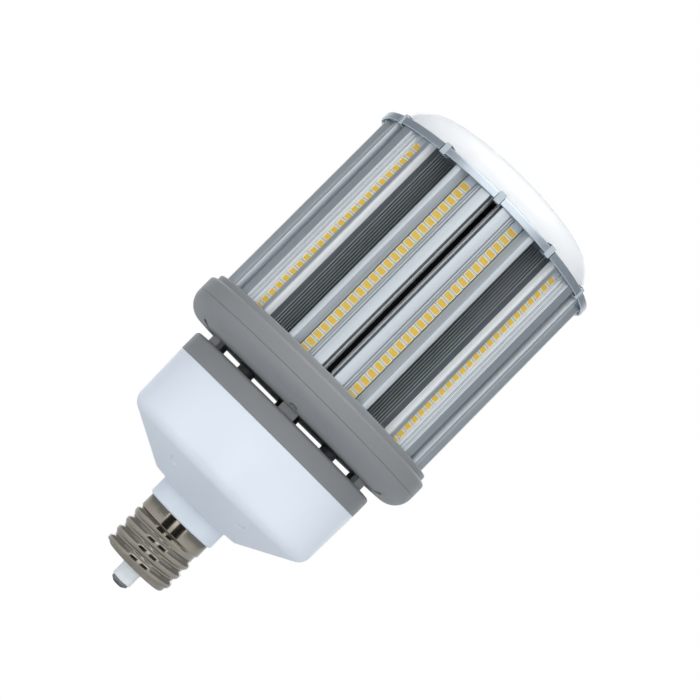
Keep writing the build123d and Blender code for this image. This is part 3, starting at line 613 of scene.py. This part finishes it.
def solder_mask(name, tone):
    """Printed mask on a board: even lacquer, slightly uneven gloss."""
    material, tree, shader, place = shaded(name, IOR=1.55)
    film = noise(tree, place, 3, 2.0)
    vary(tree, shader, film, tone, 0.96, 1.03, 0.25, 0.4)
    raise_by(tree, shader, film, 0.01 * MM, 0.3)
    return material


def phosphor_gel(tone):
    """Silicone with yellow phosphor: grainy, soft, a low gloss."""
    material, tree, shader, place = shaded("phosphor_silicone", IOR=1.41)
    grains = noise(tree, place, 0.8)
    vary(tree, shader, grains, tone, 0.82, 1.15, 0.3, 0.5)
    raise_by(tree, shader, grains, 0.02 * MM, 0.4)
    return material


def frosted_lens(tone):
    """Frosted polycarbonate: white, lets soft light through, a glossy skin."""
    material, tree, shader, place = shaded(
        "frosted_polycarbonate", IOR=1.58, Transmission_Weight=0.35, Coat_Weight=0.4, Coat_Roughness=0.08
    )
    frost = noise(tree, place, 1.5)
    vary(tree, shader, frost, tone, 0.98, 1.01, 0.4, 0.5)
    raise_by(tree, shader, frost, 0.01 * MM, 0.3)
    return material


def inner_finish(name, tone, metallic, rough, size):
    """Plain finish for pieces inside the lamp, mottled at a given size."""
    material, tree, shader, place = shaded(name, Metallic=metallic)
    vary(tree, shader, noise(tree, place, size), linear(tone), 0.85, 1.12, rough, rough + 0.15)
    return material


def grey_moulding(tones):
    """Grey moulded ABS with a spark-eroded grain, drawn at twice its real size to show."""
    return bpy.data.materials.get("grey_abs") or moulded(
        "grey_abs", tones.collar, 0.8, 0.05, 0.42, 0.52, IOR=1.53
    )


# Operators

class LampOperator:
    """What every operator here has in common."""

    bl_options = {"REGISTER", "UNDO"}


class BuildScrewShell(LampOperator, bpy.types.Operator):
    """Screw shell of rolled, nickel-plated sheet"""

    bl_idname = "lamp.screw_shell"
    bl_label = "Screw shell"

    def execute(self, context):
        """Turned outline, pushed out by the thread.

        With t the height in turns above the nearest crest, the push is depth times
        1 - ((1 - cos(2 pi t)) / 2) squared, so crests are broad, roots narrow and both are round.
        It dies out at the thread's two ends.
        """
        s = context.scene.lamp_base
        step = s.skirt - s.root
        skirt_z = s.top - s.skirt_height + step
        inside, plug = s.root - s.wall, s.skirt - s.wall
        outline = rounded([
            (s.mouth, s.end, 0.2 * MM),
            (s.root, s.end, s.end_bend),
            (s.root, skirt_z - step, 0.4 * MM),
            (s.skirt, skirt_z, 0.4 * MM),
            (s.skirt, s.top, 0.3 * MM),
            (plug, s.top, 0.3 * MM),
            (plug, skirt_z, 0),
            (inside, skirt_z - step, 0),
            (inside, s.end + s.wall, s.end_bend - s.wall),
            (s.mouth, s.end + s.wall, 0.2 * MM),
        ])
        row, margin, columns = 0.42 * MM, 0.1 * MM, 180
        outline = refined(outline, row, inside - margin, s.root + margin)
        angles = np.arange(columns) * 2 * pi / columns
        radius, height = outline[:, :1], outline[:, 1:]
        rise = (height - s.start) / s.pitch
        turn = rise - (angles[None, :] - pi / 2 - s.start_angle) / (2 * pi)
        above = turn - np.round(turn)
        along = rise - above
        begun = np.clip(along / s.runout + 0.5, 0, 1)
        fade = begun * np.clip((s.turns - along) / s.runout + 0.5, 0, 1)
        fade = fade * fade * (3 - 2 * fade)
        swell = 1 - ((1 - np.cos(2 * pi * above)) / 2) ** 2
        threaded = (height > s.end + s.end_bend * 0.6) & (height < skirt_z - step - 0.2 * MM)
        push = np.where(threaded, (s.crest - s.root) * swell * fade, 0)
        made = turned(
            "screw_shell_skin", outline, plated_nickel(context.scene.lamp_finishes.nickel),
            radius=radius + push, angles=angles,
        )
        seat(made, "nickel", "screw_shell")
        return {"FINISHED"}


class BuildContact(LampOperator, bpy.types.Operator):
    """Insulator stub and soldered centre contact"""

    bl_idname = "lamp.contact"
    bl_label = "Contact and insulator"

    def execute(self, context):
        s, tones = context.scene.lamp_base, context.scene.lamp_finishes
        disc_bottom = s.end + s.wall
        disc_edge = s.root - s.wall - s.end_bend
        shank_top = s.end + s.disc + s.shank_rise
        button = rounded([
            (0, 0, 0),
            (s.nose, 0, 1.0 * MM),
            (s.contact, s.nose_height, 0.9 * MM),
            (s.contact, s.contact_height, 0.25 * MM),
            (s.shank, s.contact_height, 0),
            (s.shank, shank_top, 0),
            (0, shank_top, 0),
        ])
        made = turned("contact_button", refined(button, 0.5 * MM), dull_solder(tones.solder), 72)
        seat(made, "contact", "centre_contact")
        stub = rounded([
            (s.shank, s.contact_height, 0),
            (s.stub, s.contact_height, 0.5 * MM),
            (s.stub, s.end - s.taper, 1.2 * MM),
            (s.stub_root, s.end - s.stub_step, 0.1 * MM),
            (s.mouth, s.end + s.stub_step, 0),
            (s.mouth, disc_bottom, 0),
            (disc_edge, disc_bottom, 0),
            (disc_edge, disc_bottom + s.disc, 0.3 * MM),
            (s.shank, disc_bottom + s.disc, 0),
        ])
        # Glazed and moulded insulator: white, hard, the glossiest plastic here
        glaze = moulded("white_urea", tones.insulator, 1.4, 0.02, 0.18, 0.26, IOR=1.55)
        seat(turned("insulator_stub", stub, glaze, 96), "insulator", "contact_insulator")
        return {"FINISHED"}


class BuildHousing(LampOperator, bpy.types.Operator):
    """White cup with its dimples"""

    bl_idname = "lamp.housing"
    bl_label = "Driver housing"

    def execute(self, context):
        """Turned outline; the cone is pressed in by the depth inside each dimple's circle."""
        s = context.scene.lamp_housing
        slope = tan(s.cone)
        shell_top = context.scene.lamp_base.top
        corner_z = s.neck_top + (s.foot - s.cone_foot) * slope
        inner_z = corner_z + s.wall / cos(s.cone) - s.wall * slope
        bore = s.plug - s.wall
        outline = rounded([
            (bore, s.plug_bottom, 0),
            (s.plug, s.plug_bottom, 0),
            (s.plug, shell_top, 0),
            (s.neck, shell_top, 1.2 * MM),
            (s.neck, s.neck_top, 1.0 * MM),
            (s.cone_foot, s.neck_top, 2.0 * MM),
            (s.foot, corner_z, s.corner),
            (s.rim, s.rim_height, 0.3 * MM),
            (s.rim - s.wall, s.rim_height, 0),
            (s.foot - s.wall, inner_z, s.corner - s.wall),
            (bore, inner_z - (s.foot - s.wall - bore) * slope, 0),
        ], steps=10)
        coarse, fine, edge, near = 2.2 * MM, 0.32 * MM, 0.45 * MM, 0.3 * MM
        reach = s.dimple + 2 * edge
        outline = refined(outline, coarse)
        outline = refined(outline, fine, s.dimple_circle - reach, s.dimple_circle + reach)
        angles = places_round(6, reach / s.dimple_circle, 19, 10, radians(30))
        radius, height = outline[:, :1], outline[:, 1:]
        on_cone = np.abs(height - s.neck_top - (radius - s.cone_foot) * slope) < near
        around = (angles - radians(30) + pi / 6) % (pi / 3) - pi / 6
        from_centre = np.hypot((radius - s.dimple_circle) / cos(s.cone), radius * around[None, :])
        depth = np.clip((s.dimple - from_centre) / edge + 0.5, 0, 1)
        depth = np.where(on_cone, s.dimple_depth * depth * depth * (3 - 2 * depth), 0)
        tone = context.scene.lamp_finishes.housing
        # Polycarbonate, moulded and lightly etched: white, a broad soft gloss
        plastic = moulded("white_polycarbonate", tone, 0.9, 0.03, 0.34, 0.42, IOR=1.585)
        made = turned(
            "housing_cup", outline, plastic, angles=angles,
            radius=radius - depth * sin(s.cone), height=height + depth * cos(s.cone),
        )
        seat(made, "white_housing", "driver_housing")
        return {"FINISHED"}


class BuildCollar(LampOperator, bpy.types.Operator):
    """Grey cover and both parts of the collar"""

    bl_idname = "lamp.collar"
    bl_label = "Cover and collar"

    def execute(self, context):
        s, housing = context.scene.lamp_collar, context.scene.lamp_housing
        plastic = grey_moulding(context.scene.lamp_finishes)
        spigot = housing.rim - housing.wall - s.spigot_gap
        spigot_inside = spigot - s.spigot_wall
        spigot_z = housing.rim_height - s.spigot_depth
        cover_under = s.cover_top - s.cover_wall
        cover = rounded([
            (spigot_inside, spigot_z, 0),
            (spigot, spigot_z, 0),
            (spigot, housing.rim_height, 0),
            (housing.rim, housing.rim_height, 0.3 * MM),
            (housing.rim, s.cover_top, s.cover_bend),
            (s.tube_hole, s.cover_top, 0),
            (s.tube_hole, cover_under, 0),
            (spigot_inside, cover_under, 0),
        ])
        seat(turned("cover_ring", cover, plastic, 160), "grey_plastic", "housing_cover")
        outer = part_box("collar_upper")[1][0]
        rim_radius = outer - s.shoulder_width
        rim_inside = rim_radius - s.rim_wall
        lip = outer - s.wall - s.lip_gap
        lip_inside, lip_z = lip - s.lip_wall, s.parting - s.lip_depth
        ring = rounded([
            (lip_inside, lip_z, 0),
            (lip, lip_z, 0),
            (lip, s.parting, 0),
            (outer - s.groove, s.parting, 0),
            (outer - s.groove, s.parting + s.groove, 0),
            (outer, s.parting + 2 * s.groove, 0.2 * MM),
            (outer, s.shoulder, s.shoulder_bend),
            (rim_radius, s.shoulder, 0.5 * MM),
            (rim_radius, s.rim, 0.9 * MM),
            (rim_inside, s.rim, 0.4 * MM),
            (rim_inside, s.deck, 0.2 * MM),
            (s.opening, s.deck, 0),
            (s.opening, s.deck - s.deck_wall, 0),
            (lip_inside, s.deck - s.deck_wall, 0),
        ])
        seat(turned("collar_ring", ring, plastic, 192), "grey_plastic", "collar_upper")
        dress(plastic, "collar_lower")
        return {"FINISHED"}


def panel_turn(number, half):
    """Angle of a panel from its number, 1 to 12: pairs 60 degrees apart."""
    pair, second = divmod(number - 1, 2)
    return pair * pi / 3 + (half if second else -half)


def sink_half(s, wing, slope, ribs, gap_angle):
    """Half of an extrusion's section, from its channel to the web's inner end."""
    front = -s.distance
    under, foot = front + s.sheet, front + s.side_depth
    lip, floor = front + s.channel_lip, front + s.channel_depth
    back = floor + s.floor
    side, root = s.channel / 2, s.web / 2
    half = [(side, floor, 0.1 * MM), (side, lip, 0.4 * MM)]
    lean = np.array((slope - side, front - lip))
    across = unit(np.array((-lean[1], lean[0]))) * s.rib * 0.6
    for number in range(1, ribs + 1):
        foot_of_rib = np.array((side, lip)) + lean * number / (ribs + 1)
        for shift, lift, bend in ((-0.5, 0, 0.1), (-0.4, 1, 0.25), (0.4, 1, 0.25), (0.5, 0, 0.1)):
            x, y = foot_of_rib + unit(lean) * shift * s.rib - across * lift
            half.append((x, y, bend * MM))
    half += [
        (slope, front, 0.5 * MM),
        (wing, front, 0.45 * MM),
        (wing, foot, 0.2 * MM),
        (wing - s.side_wall, foot, 0.2 * MM),
        (wing - s.side_wall, under, 0.2 * MM),
        (slope, under, 0.3 * MM),
        (side + s.channel_wall, back, 0.3 * MM),
        (root, back, 0.2 * MM),
    ]
    for number in range(1, s.fins + 1):
        middle = back + number * s.fin_pitch
        reach = min(wing - s.fin_setback, -middle * tan(gap_angle) - s.fin_gap / 2)
        for edge in (middle - s.fin / 2, middle + s.fin / 2):
            bead = s.port ** 2 - (edge + s.port_distance) ** 2
            inner = (max(root, max(bead, 0) ** 0.5), edge, 0.15 * MM)
            tip = (reach, edge, 0.2 * MM)
            half += [inner, tip] if edge < middle else [tip, inner]
    return half[:-1]


def sink_outline(s, hand):
    """Section of an extrusion, facing -Y; hand is 1 if its pair's gap is towards +X."""
    half_turn = pi / 6
    inner = sink_half(s, s.inner_wing, s.inner_slope, s.ribs, s.pair_angle)
    outer = sink_half(s, s.outer_wing, s.outer_slope, 0, half_turn - s.pair_angle)
    whole = inner + [(-x, y, bend) for x, y, bend in reversed(outer)]
    return rounded([(hand * x, y, bend) for x, y, bend in whole], steps=3)


def painted_highlight(s, outline, hand):
    """Marks the runs that get a painted highlight: the outer side wall, a wall of the channel and the first
    fin's inner half.
    """
    x, y = ((outline + np.roll(outline, -1, axis=0)) / 2).T
    near = 0.02 * MM
    wall = (np.abs(x * hand + s.outer_wing) < near) & (y < s.side_depth - s.distance)
    rail = (np.abs(x * hand - s.channel / 2) < near) & (y < s.channel_depth - s.distance + near)
    first = s.channel_depth + s.floor + s.fin_pitch - s.fin / 2 - s.distance
    fin = (np.abs(y - first) < near) & (x * hand > s.channel)
    return wall | rail | fin


class BuildHeatSinks(LampOperator, bpy.types.Operator):
    """Twelve aluminium extrusions"""

    bl_idname = "lamp.heat_sinks"
    bl_label = "Heat sinks"

    def execute(self, context):
        s = context.scene.lamp_sinks
        tones = context.scene.lamp_finishes
        metal = drawn_aluminium("anodised_extrusion", tones.aluminium, 0.9, 0.36, 0.52)
        # Painted highlight: paler, almost non-metallic paint on some walls, standing in for the front light
        # that they reflect
        highlight_paint = drawn_aluminium("lacquered_aluminium", tones.painted_highlight, 0.9, 0.4, 0.5, 0.1)
        low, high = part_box("heat_sink_01")
        for number in range(1, PANELS + 1):
            turn = panel_turn(number, s.pair_angle)
            outline = sink_outline(s, 1 if number % 2 else -1)
            # Runs painted near-white as a highlight
            bright = painted_highlight(s, outline, 1 if number % 2 else -1)
            made = extruded(
                f"extrusion_{number:02d}", outline, low[2], high[2], turn, [metal, highlight_paint], bright
            )
            seat(made, "heat_sink", f"heat_sink_{number:02d}")
        return {"FINISHED"}


def slab(width, height, rings, corner):
    """Rings of eight points (inset, level) of a rectangle with cut corners, closed in the middle."""
    points = []
    for inset, level in rings:
        x, z = width / 2 - inset, height / 2 - inset
        cut = min(corner, x, z)
        across = np.array([x - cut, x, x, x - cut, cut - x, -x, -x, cut - x])
        along = np.array([-z, cut - z, z - cut, z, z, z - cut, cut - z, -z])
        points.append(np.column_stack((across, np.full(SLAB_POINTS, -level), along)))
    return np.stack(points)


class BuildLeds(LampOperator, bpy.types.Operator):
    """LED boards with their chips"""

    bl_idname = "lamp.leds"
    bl_label = "LED boards and chips"

    def execute(self, context):
        """Each chip is six rings of eight points, from its foot to the middle of its window."""
        s, sinks, tones = context.scene.lamp_leds, context.scene.lamp_sinks, context.scene.lamp_finishes
        mask = solder_mask("white_solder_mask", tones.board)
        # White thermoplastic frame of a chip
        frame_plastic = moulded("chip_frame_plastic", tones.frame, 0.8, 0.01, 0.3, 0.4, IOR=1.53)
        gel = phosphor_gel(tones.phosphor)
        floor = sinks.distance - sinks.channel_depth
        low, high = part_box("led_board_01")
        middle, tall = (low[2] + high[2]) / 2, high[2] - low[2]
        width = sinks.channel - 2 * s.side_gap
        board = slab(
            width, tall, [(0, 0), (0, s.board - s.bevel), (s.bevel, s.board), (width / 2, s.board)], 0.4 * MM
        )
        board += (0, -floor, middle)
        chip = slab(
            s.chip_width, s.chip_length,
            [
                (0, 0),
                (0, s.chip_height - 0.05 * MM),
                (0.05 * MM, s.chip_height),
                (s.frame, s.chip_height),
                (s.frame + 0.08 * MM, s.chip_height - s.well),
                (s.chip_length / 2, s.chip_height - 0.5 * s.well),
            ],
            0.25 * MM,
        )
        chip += (0, -floor - s.board, 0)
        levels = s.top - np.arange(s.count) * s.pitch
        row = chip[None] + np.outer(levels, (0, 0, 1))[:, None, None, :]
        rings = len(chip)
        one = grid_quads(rings, SLAB_POINTS, wrap_rows=False)
        # The last of the strips between rings is the phosphor's window
        window = np.repeat(np.arange(rings - 1) == rings - 2, SLAB_POINTS)
        first = np.arange(s.count) * rings * SLAB_POINTS
        quads = (one[None] + first[:, None, None]).reshape(-1, 4)
        for number in range(1, PANELS + 1):
            turn = panel_turn(number, sinks.pair_angle)
            sides = grid_quads(len(board), SLAB_POINTS, wrap_rows=False)
            points, faces, *_ = welded(faced(board, turn), sides)
            made = piece(f"board_strip_{number:02d}", points, faces, [mask])
            seat(made, "led_board", f"led_board_{number:02d}")
            points = faced(row, turn).reshape(-1, 3)
            made = piece(
                f"chip_row_{number:02d}", points, quads.tolist(), [frame_plastic, gel],
                np.tile(window, s.count).astype(np.int32),
            )
            seat(made, "led_chip", f"led_chips_{number:02d}")
        return {"FINISHED"}


class BuildEndPlate(LampOperator, bpy.types.Operator):
    """Notched plate over the heat sinks"""

    bl_idname = "lamp.end_plate"
    bl_label = "End plate"

    def execute(self, context):
        s = context.scene.lamp_end
        edge, _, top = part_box("end_plate")[1]
        bottom, rim_z = top - s.plate, top - s.plate_rim
        inside, notch = edge - s.rim_wall, edge - s.notch_depth
        plain = rounded([
            (s.wire_hole, bottom, 0),
            (notch, bottom, 0),
            (inside, bottom, 0.3 * MM),
            (inside, rim_z, 0.2 * MM),
            (edge, rim_z, 0.4 * MM),
            (edge, top, 0.9 * MM),
            (notch, top, 0),
            (s.wire_hole, top, 0),
        ])
        first, last = 1, len(plain) - 2
        special = plain.copy()
        half_way = (first + last) // 2
        special[first:half_way] = plain[first]
        special[half_way:last + 1] = plain[last]
        metal = sheet_aluminium(context.scene.lamp_finishes.plate)
        half_width = asin(s.notch_width / 2 / notch)
        made = stepped("notched_plate", plain, special, first, last, 12, half_width, [metal])
        seat(made, "end_plate", "end_plate")
        return {"FINISHED"}


class BuildDome(LampOperator, bpy.types.Operator):
    """Frosted dome with its hooks"""

    bl_idname = "lamp.dome"
    bl_label = "Dome"

    def execute(self, context):
        """Turned outline: a crown that is part of a large ball, a shoulder arc and a wall."""
        s = context.scene.lamp_end
        plate_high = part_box("end_plate")[1]
        low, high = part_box("dome_lens")
        foot, apex = plate_high[2], high[2]
        notch = plate_high[0] - s.notch_depth

        def skin(radius, ball, peak, bend):
            """Arc of the crown up to where the shoulder's arc takes over, then down the wall."""
            centre = radius - bend
            reach = ball - bend
            centre_z = peak - ball + (reach * reach - centre * centre) ** 0.5
            lean = asin(centre / reach)
            crown = lean * np.linspace(0, 1, 40)
            shoulder = lean + (pi / 2 - lean) * np.linspace(0, 1, 14)[1:]
            arc = np.column_stack((ball * np.sin(crown), peak - ball + ball * np.cos(crown)))
            bend_points = np.column_stack((
                centre + bend * np.sin(shoulder), centre_z + bend * np.cos(shoulder)
            ))
            return np.vstack((arc, bend_points))

        outer = skin(s.dome, s.crown, apex, s.dome_shoulder)
        inner = skin(
            s.dome - s.dome_wall, s.crown - s.dome_wall, apex - s.dome_wall, s.dome_shoulder - s.dome_wall
        )
        flange_top = foot + s.flange_height
        hook_in, hook_out = notch + s.hook_gap, plate_high[0] - s.hook_setback
        barb_top, barb_bottom = foot - s.plate - s.hook_gap, low[2]
        plain_foot = np.array([
            (s.dome - s.dome_wall, foot),
            (s.flange, foot), (s.flange, foot), (s.flange, foot), (s.flange, foot),
            (s.flange, flange_top), (s.flange, flange_top), (s.flange, flange_top),
            (s.dome, flange_top),
        ])
        hook_foot = np.array([
            (s.dome - s.dome_wall, foot),
            (hook_in, foot), (hook_in, barb_top), (hook_in - s.barb, barb_top), (hook_in, barb_bottom),
            (hook_out, barb_bottom), (hook_out, flange_top), (s.flange, flange_top),
            (s.dome, flange_top),
        ])
        plain = np.vstack((plain_foot, outer[::-1], inner))
        special = np.vstack((hook_foot, outer[::-1], inner))
        half_width = asin((s.notch_width / 2 - s.hook_gap) / notch)
        tones = context.scene.lamp_finishes
        # Clear polycarbonate over metal, so it looks grey
        hook = moulded("clear_polycarbonate_hook", tones.hook, 1.0, 0.01, 0.16, 0.24, IOR=1.58)
        finishes = [frosted_lens(tones.dome), hook]
        made = stepped("dome_shell", plain, special, 0, 8, 12, half_width, finishes, coarse=10)
        seat(made, "dome", "dome_lens")
        return {"FINISHED"}


class BuildInside(LampOperator, bpy.types.Operator):
    """Finishes for the pieces inside the lamp and for its screws"""

    bl_idname = "lamp.inside"
    bl_label = "Inside and screws"

    def execute(self, context):
        tones = context.scene.lamp_finishes
        # Glass-fibre board under green mask
        dress(inner_finish("green_board", "#1F5A33", 0.0, 0.4, 3), "driver_board")
        # Yellow tape round the winding
        dress(inner_finish("taped_winding", "#B58A25", 0.0, 0.45, 2), "driver_transformer")
        # Sleeved aluminium cans
        dress(inner_finish("sleeved_can", "#20242C", 0.0, 0.35, 4), "driver_capacitors")
        # Enamelled copper on a ring
        dress(inner_finish("enamelled_copper", "#A2542A", 0.7, 0.3, 1), "driver_choke")
        # Silicone-insulated wire
        dress(inner_finish("red_silicone_wire", "#B3261E", 0.0, 0.45, 2), "live_lead", "neutral_lead")
        # Black sheath and dark tube
        dress(inner_finish("black_sheath", "#17181A", 0.0, 0.5, 2), "output_cable")
        dress(inner_finish("dark_moulded_tube", "#3B3633", 0.0, 0.5, 2), "wire_tube")
        # Zinc-plated steel
        zinc = inner_finish("zinc_plated_steel", "#B9BCC0", 1.0, 0.28, 1)
        dress(
            zinc, "driver_screws", "housing_screws", "collar_screws", "foot_screws", "end_plate_screws"
        )
        dress(solder_mask("white_mask_top", tones.board), "top_led_board")
        dress(bpy.data.materials["phosphor_silicone"], "top_led_chips")
        return {"FINISHED"}


class BuildStage(LampOperator, bpy.types.Operator):
    """Pale floor, soft lights and the camera"""

    bl_idname = "lamp.stage"
    bl_label = "Stage"

    def execute(self, context):
        s = context.scene.lamp_stage
        angles = np.arange(FLOOR_SIDES) * 2 * pi / FLOOR_SIDES
        points = wheel(np.array(FLOOR_RINGS)[:, None], -FLOOR_DROP, angles[None, :])
        points, faces, *_ = welded(points, grid_quads(len(FLOOR_RINGS), FLOOR_SIDES, wrap_rows=False))
        # Matt white paper; the camera sees it as even white
        paper, tree, shader, place = shaded("matt_white_paper")
        vary(tree, shader, noise(tree, place, 4, 2.0), linear("#D8DADC"), 0.99, 1.01, 0.85, 0.95)
        glow = add_node(tree, "ShaderNodeEmission", {"Color": (1, 1, 1, 1), "Strength": 1.0})
        self.white_to_camera(tree, shader.outputs["BSDF"], glow.outputs["Emission"], "Material Output")
        piece("floor", points, [face[::-1] for face in faces], [paper])
        for name, strength, place, width, height, mirrored in BOXES:
            box = self.light(name, place, width, height, getattr(s, strength))
            box.visible_glossy = mirrored
        # Black cards that show in reflections only, as on the nickel
        card, *_ = shaded("black_card", Base_Color=linear("#050505"), Roughness=0.9)
        for side in (-1, 1):
            near, far = side * s.card_gap, side * (s.card_gap + s.card_width)
            foot = [(x, -s.card_distance, 0) for x in (near, far)]
            head = [(x, -s.card_distance, s.card_height) for x in (far, near)]
            made = piece(f"card_{side:+d}", foot + head, [(0, 1, 2, 3)], [card])
            made.visible_camera = made.visible_diffuse = made.visible_shadow = False
        world = bpy.data.worlds.new("studio")
        world.use_nodes = True
        context.scene.world = world
        context.scene.view_settings.view_transform = "Standard"
        tree = world.node_tree
        room = tree.nodes["Background"]
        room.inputs["Color"].default_value = linear("#B4B9BF")
        room.inputs["Strength"].default_value = s.room
        white = add_node(tree, "ShaderNodeBackground", {"Color": (1, 1, 1, 1), "Strength": 1.0})
        self.white_to_camera(tree, room.outputs["Background"], white.outputs["Background"], "World Output")
        camera = bpy.data.cameras.new("camera")
        camera.lens, camera.sensor_width = s.lens, 36.0
        camera.clip_end = 50
        made = bpy.data.objects.new("camera", camera)
        pitch = atan2(s.aim - s.height, s.distance)
        made.matrix_world = (
            Matrix.Translation((s.offset, -s.distance, s.height))
            @ Matrix.Rotation(pi / 2 + pitch, 4, "X")
            @ Matrix.Rotation(s.roll, 4, "Z")
        )
        context.scene.collection.objects.link(made)
        bpy.context.scene.camera = made
        return {"FINISHED"}

    def white_to_camera(self, tree, plain, white, output):
        """Shows one shader to the camera and the other to the lamp."""
        seen = add_node(tree, "ShaderNodeLightPath").outputs["Is Camera Ray"]
        both = add_node(tree, "ShaderNodeMixShader", {0: seen, 1: plain, 2: white})
        tree.links.new(both.outputs["Shader"], tree.nodes[output].inputs["Surface"])

    def light(self, name, place, width, height, watts):
        """Soft box that faces the lamp's middle."""
        glow = bpy.data.lights.new(name, "AREA")
        glow.shape = "RECTANGLE"
        glow.size, glow.size_y = width, height
        glow.energy = watts
        made = bpy.data.objects.new(name, glow)
        made.location = place
        aim = -made.location
        aim.z += BOX_AIM
        made.rotation_euler = aim.to_track_quat("-Z", "Y").to_euler()
        bpy.context.scene.collection.objects.link(made)
        return made


OPERATORS = (
    BuildStage, BuildScrewShell, BuildContact, BuildHousing, BuildCollar, BuildHeatSinks, BuildLeds,
    BuildEndPlate, BuildDome, BuildInside,
)


class LampPanel(bpy.types.Panel):
    """Sizes, finishes and building steps of the lamp"""

    bl_idname = "VIEW3D_PT_corn_lamp"
    bl_label = "Corn Lamp"
    bl_space_type = "VIEW_3D"
    bl_region_type = "UI"
    bl_category = "Corn Lamp"

    def draw(self, context):
        for name, group in GROUPS.items():
            box = self.layout.box()
            box.label(text=group.__doc__)
            for field in group.__annotations__:
                box.prop(getattr(context.scene, name), field)
        for operator in OPERATORS:
            self.layout.operator(operator.bl_idname)


def register():
    """Adds the property groups, the operators and the panel."""
    for name, group in GROUPS.items():
        bpy.utils.register_class(group)
        setattr(bpy.types.Scene, name, bpy.props.PointerProperty(type=group))
    for operator in OPERATORS:
        bpy.utils.register_class(operator)
    bpy.utils.register_class(LampPanel)


def unregister():
    """Takes them away again."""
    bpy.utils.unregister_class(LampPanel)
    for operator in reversed(OPERATORS):
        bpy.utils.unregister_class(operator)
    for name, group in GROUPS.items():
        delattr(bpy.types.Scene, name)
        bpy.utils.unregister_class(group)


def main():
    """Builds the stage and every piece."""
    register()
    for operator in OPERATORS:
        family, action = operator.bl_idname.split(".")
        getattr(getattr(bpy.ops, family), action)()


if __name__ == "__main__":
    main()
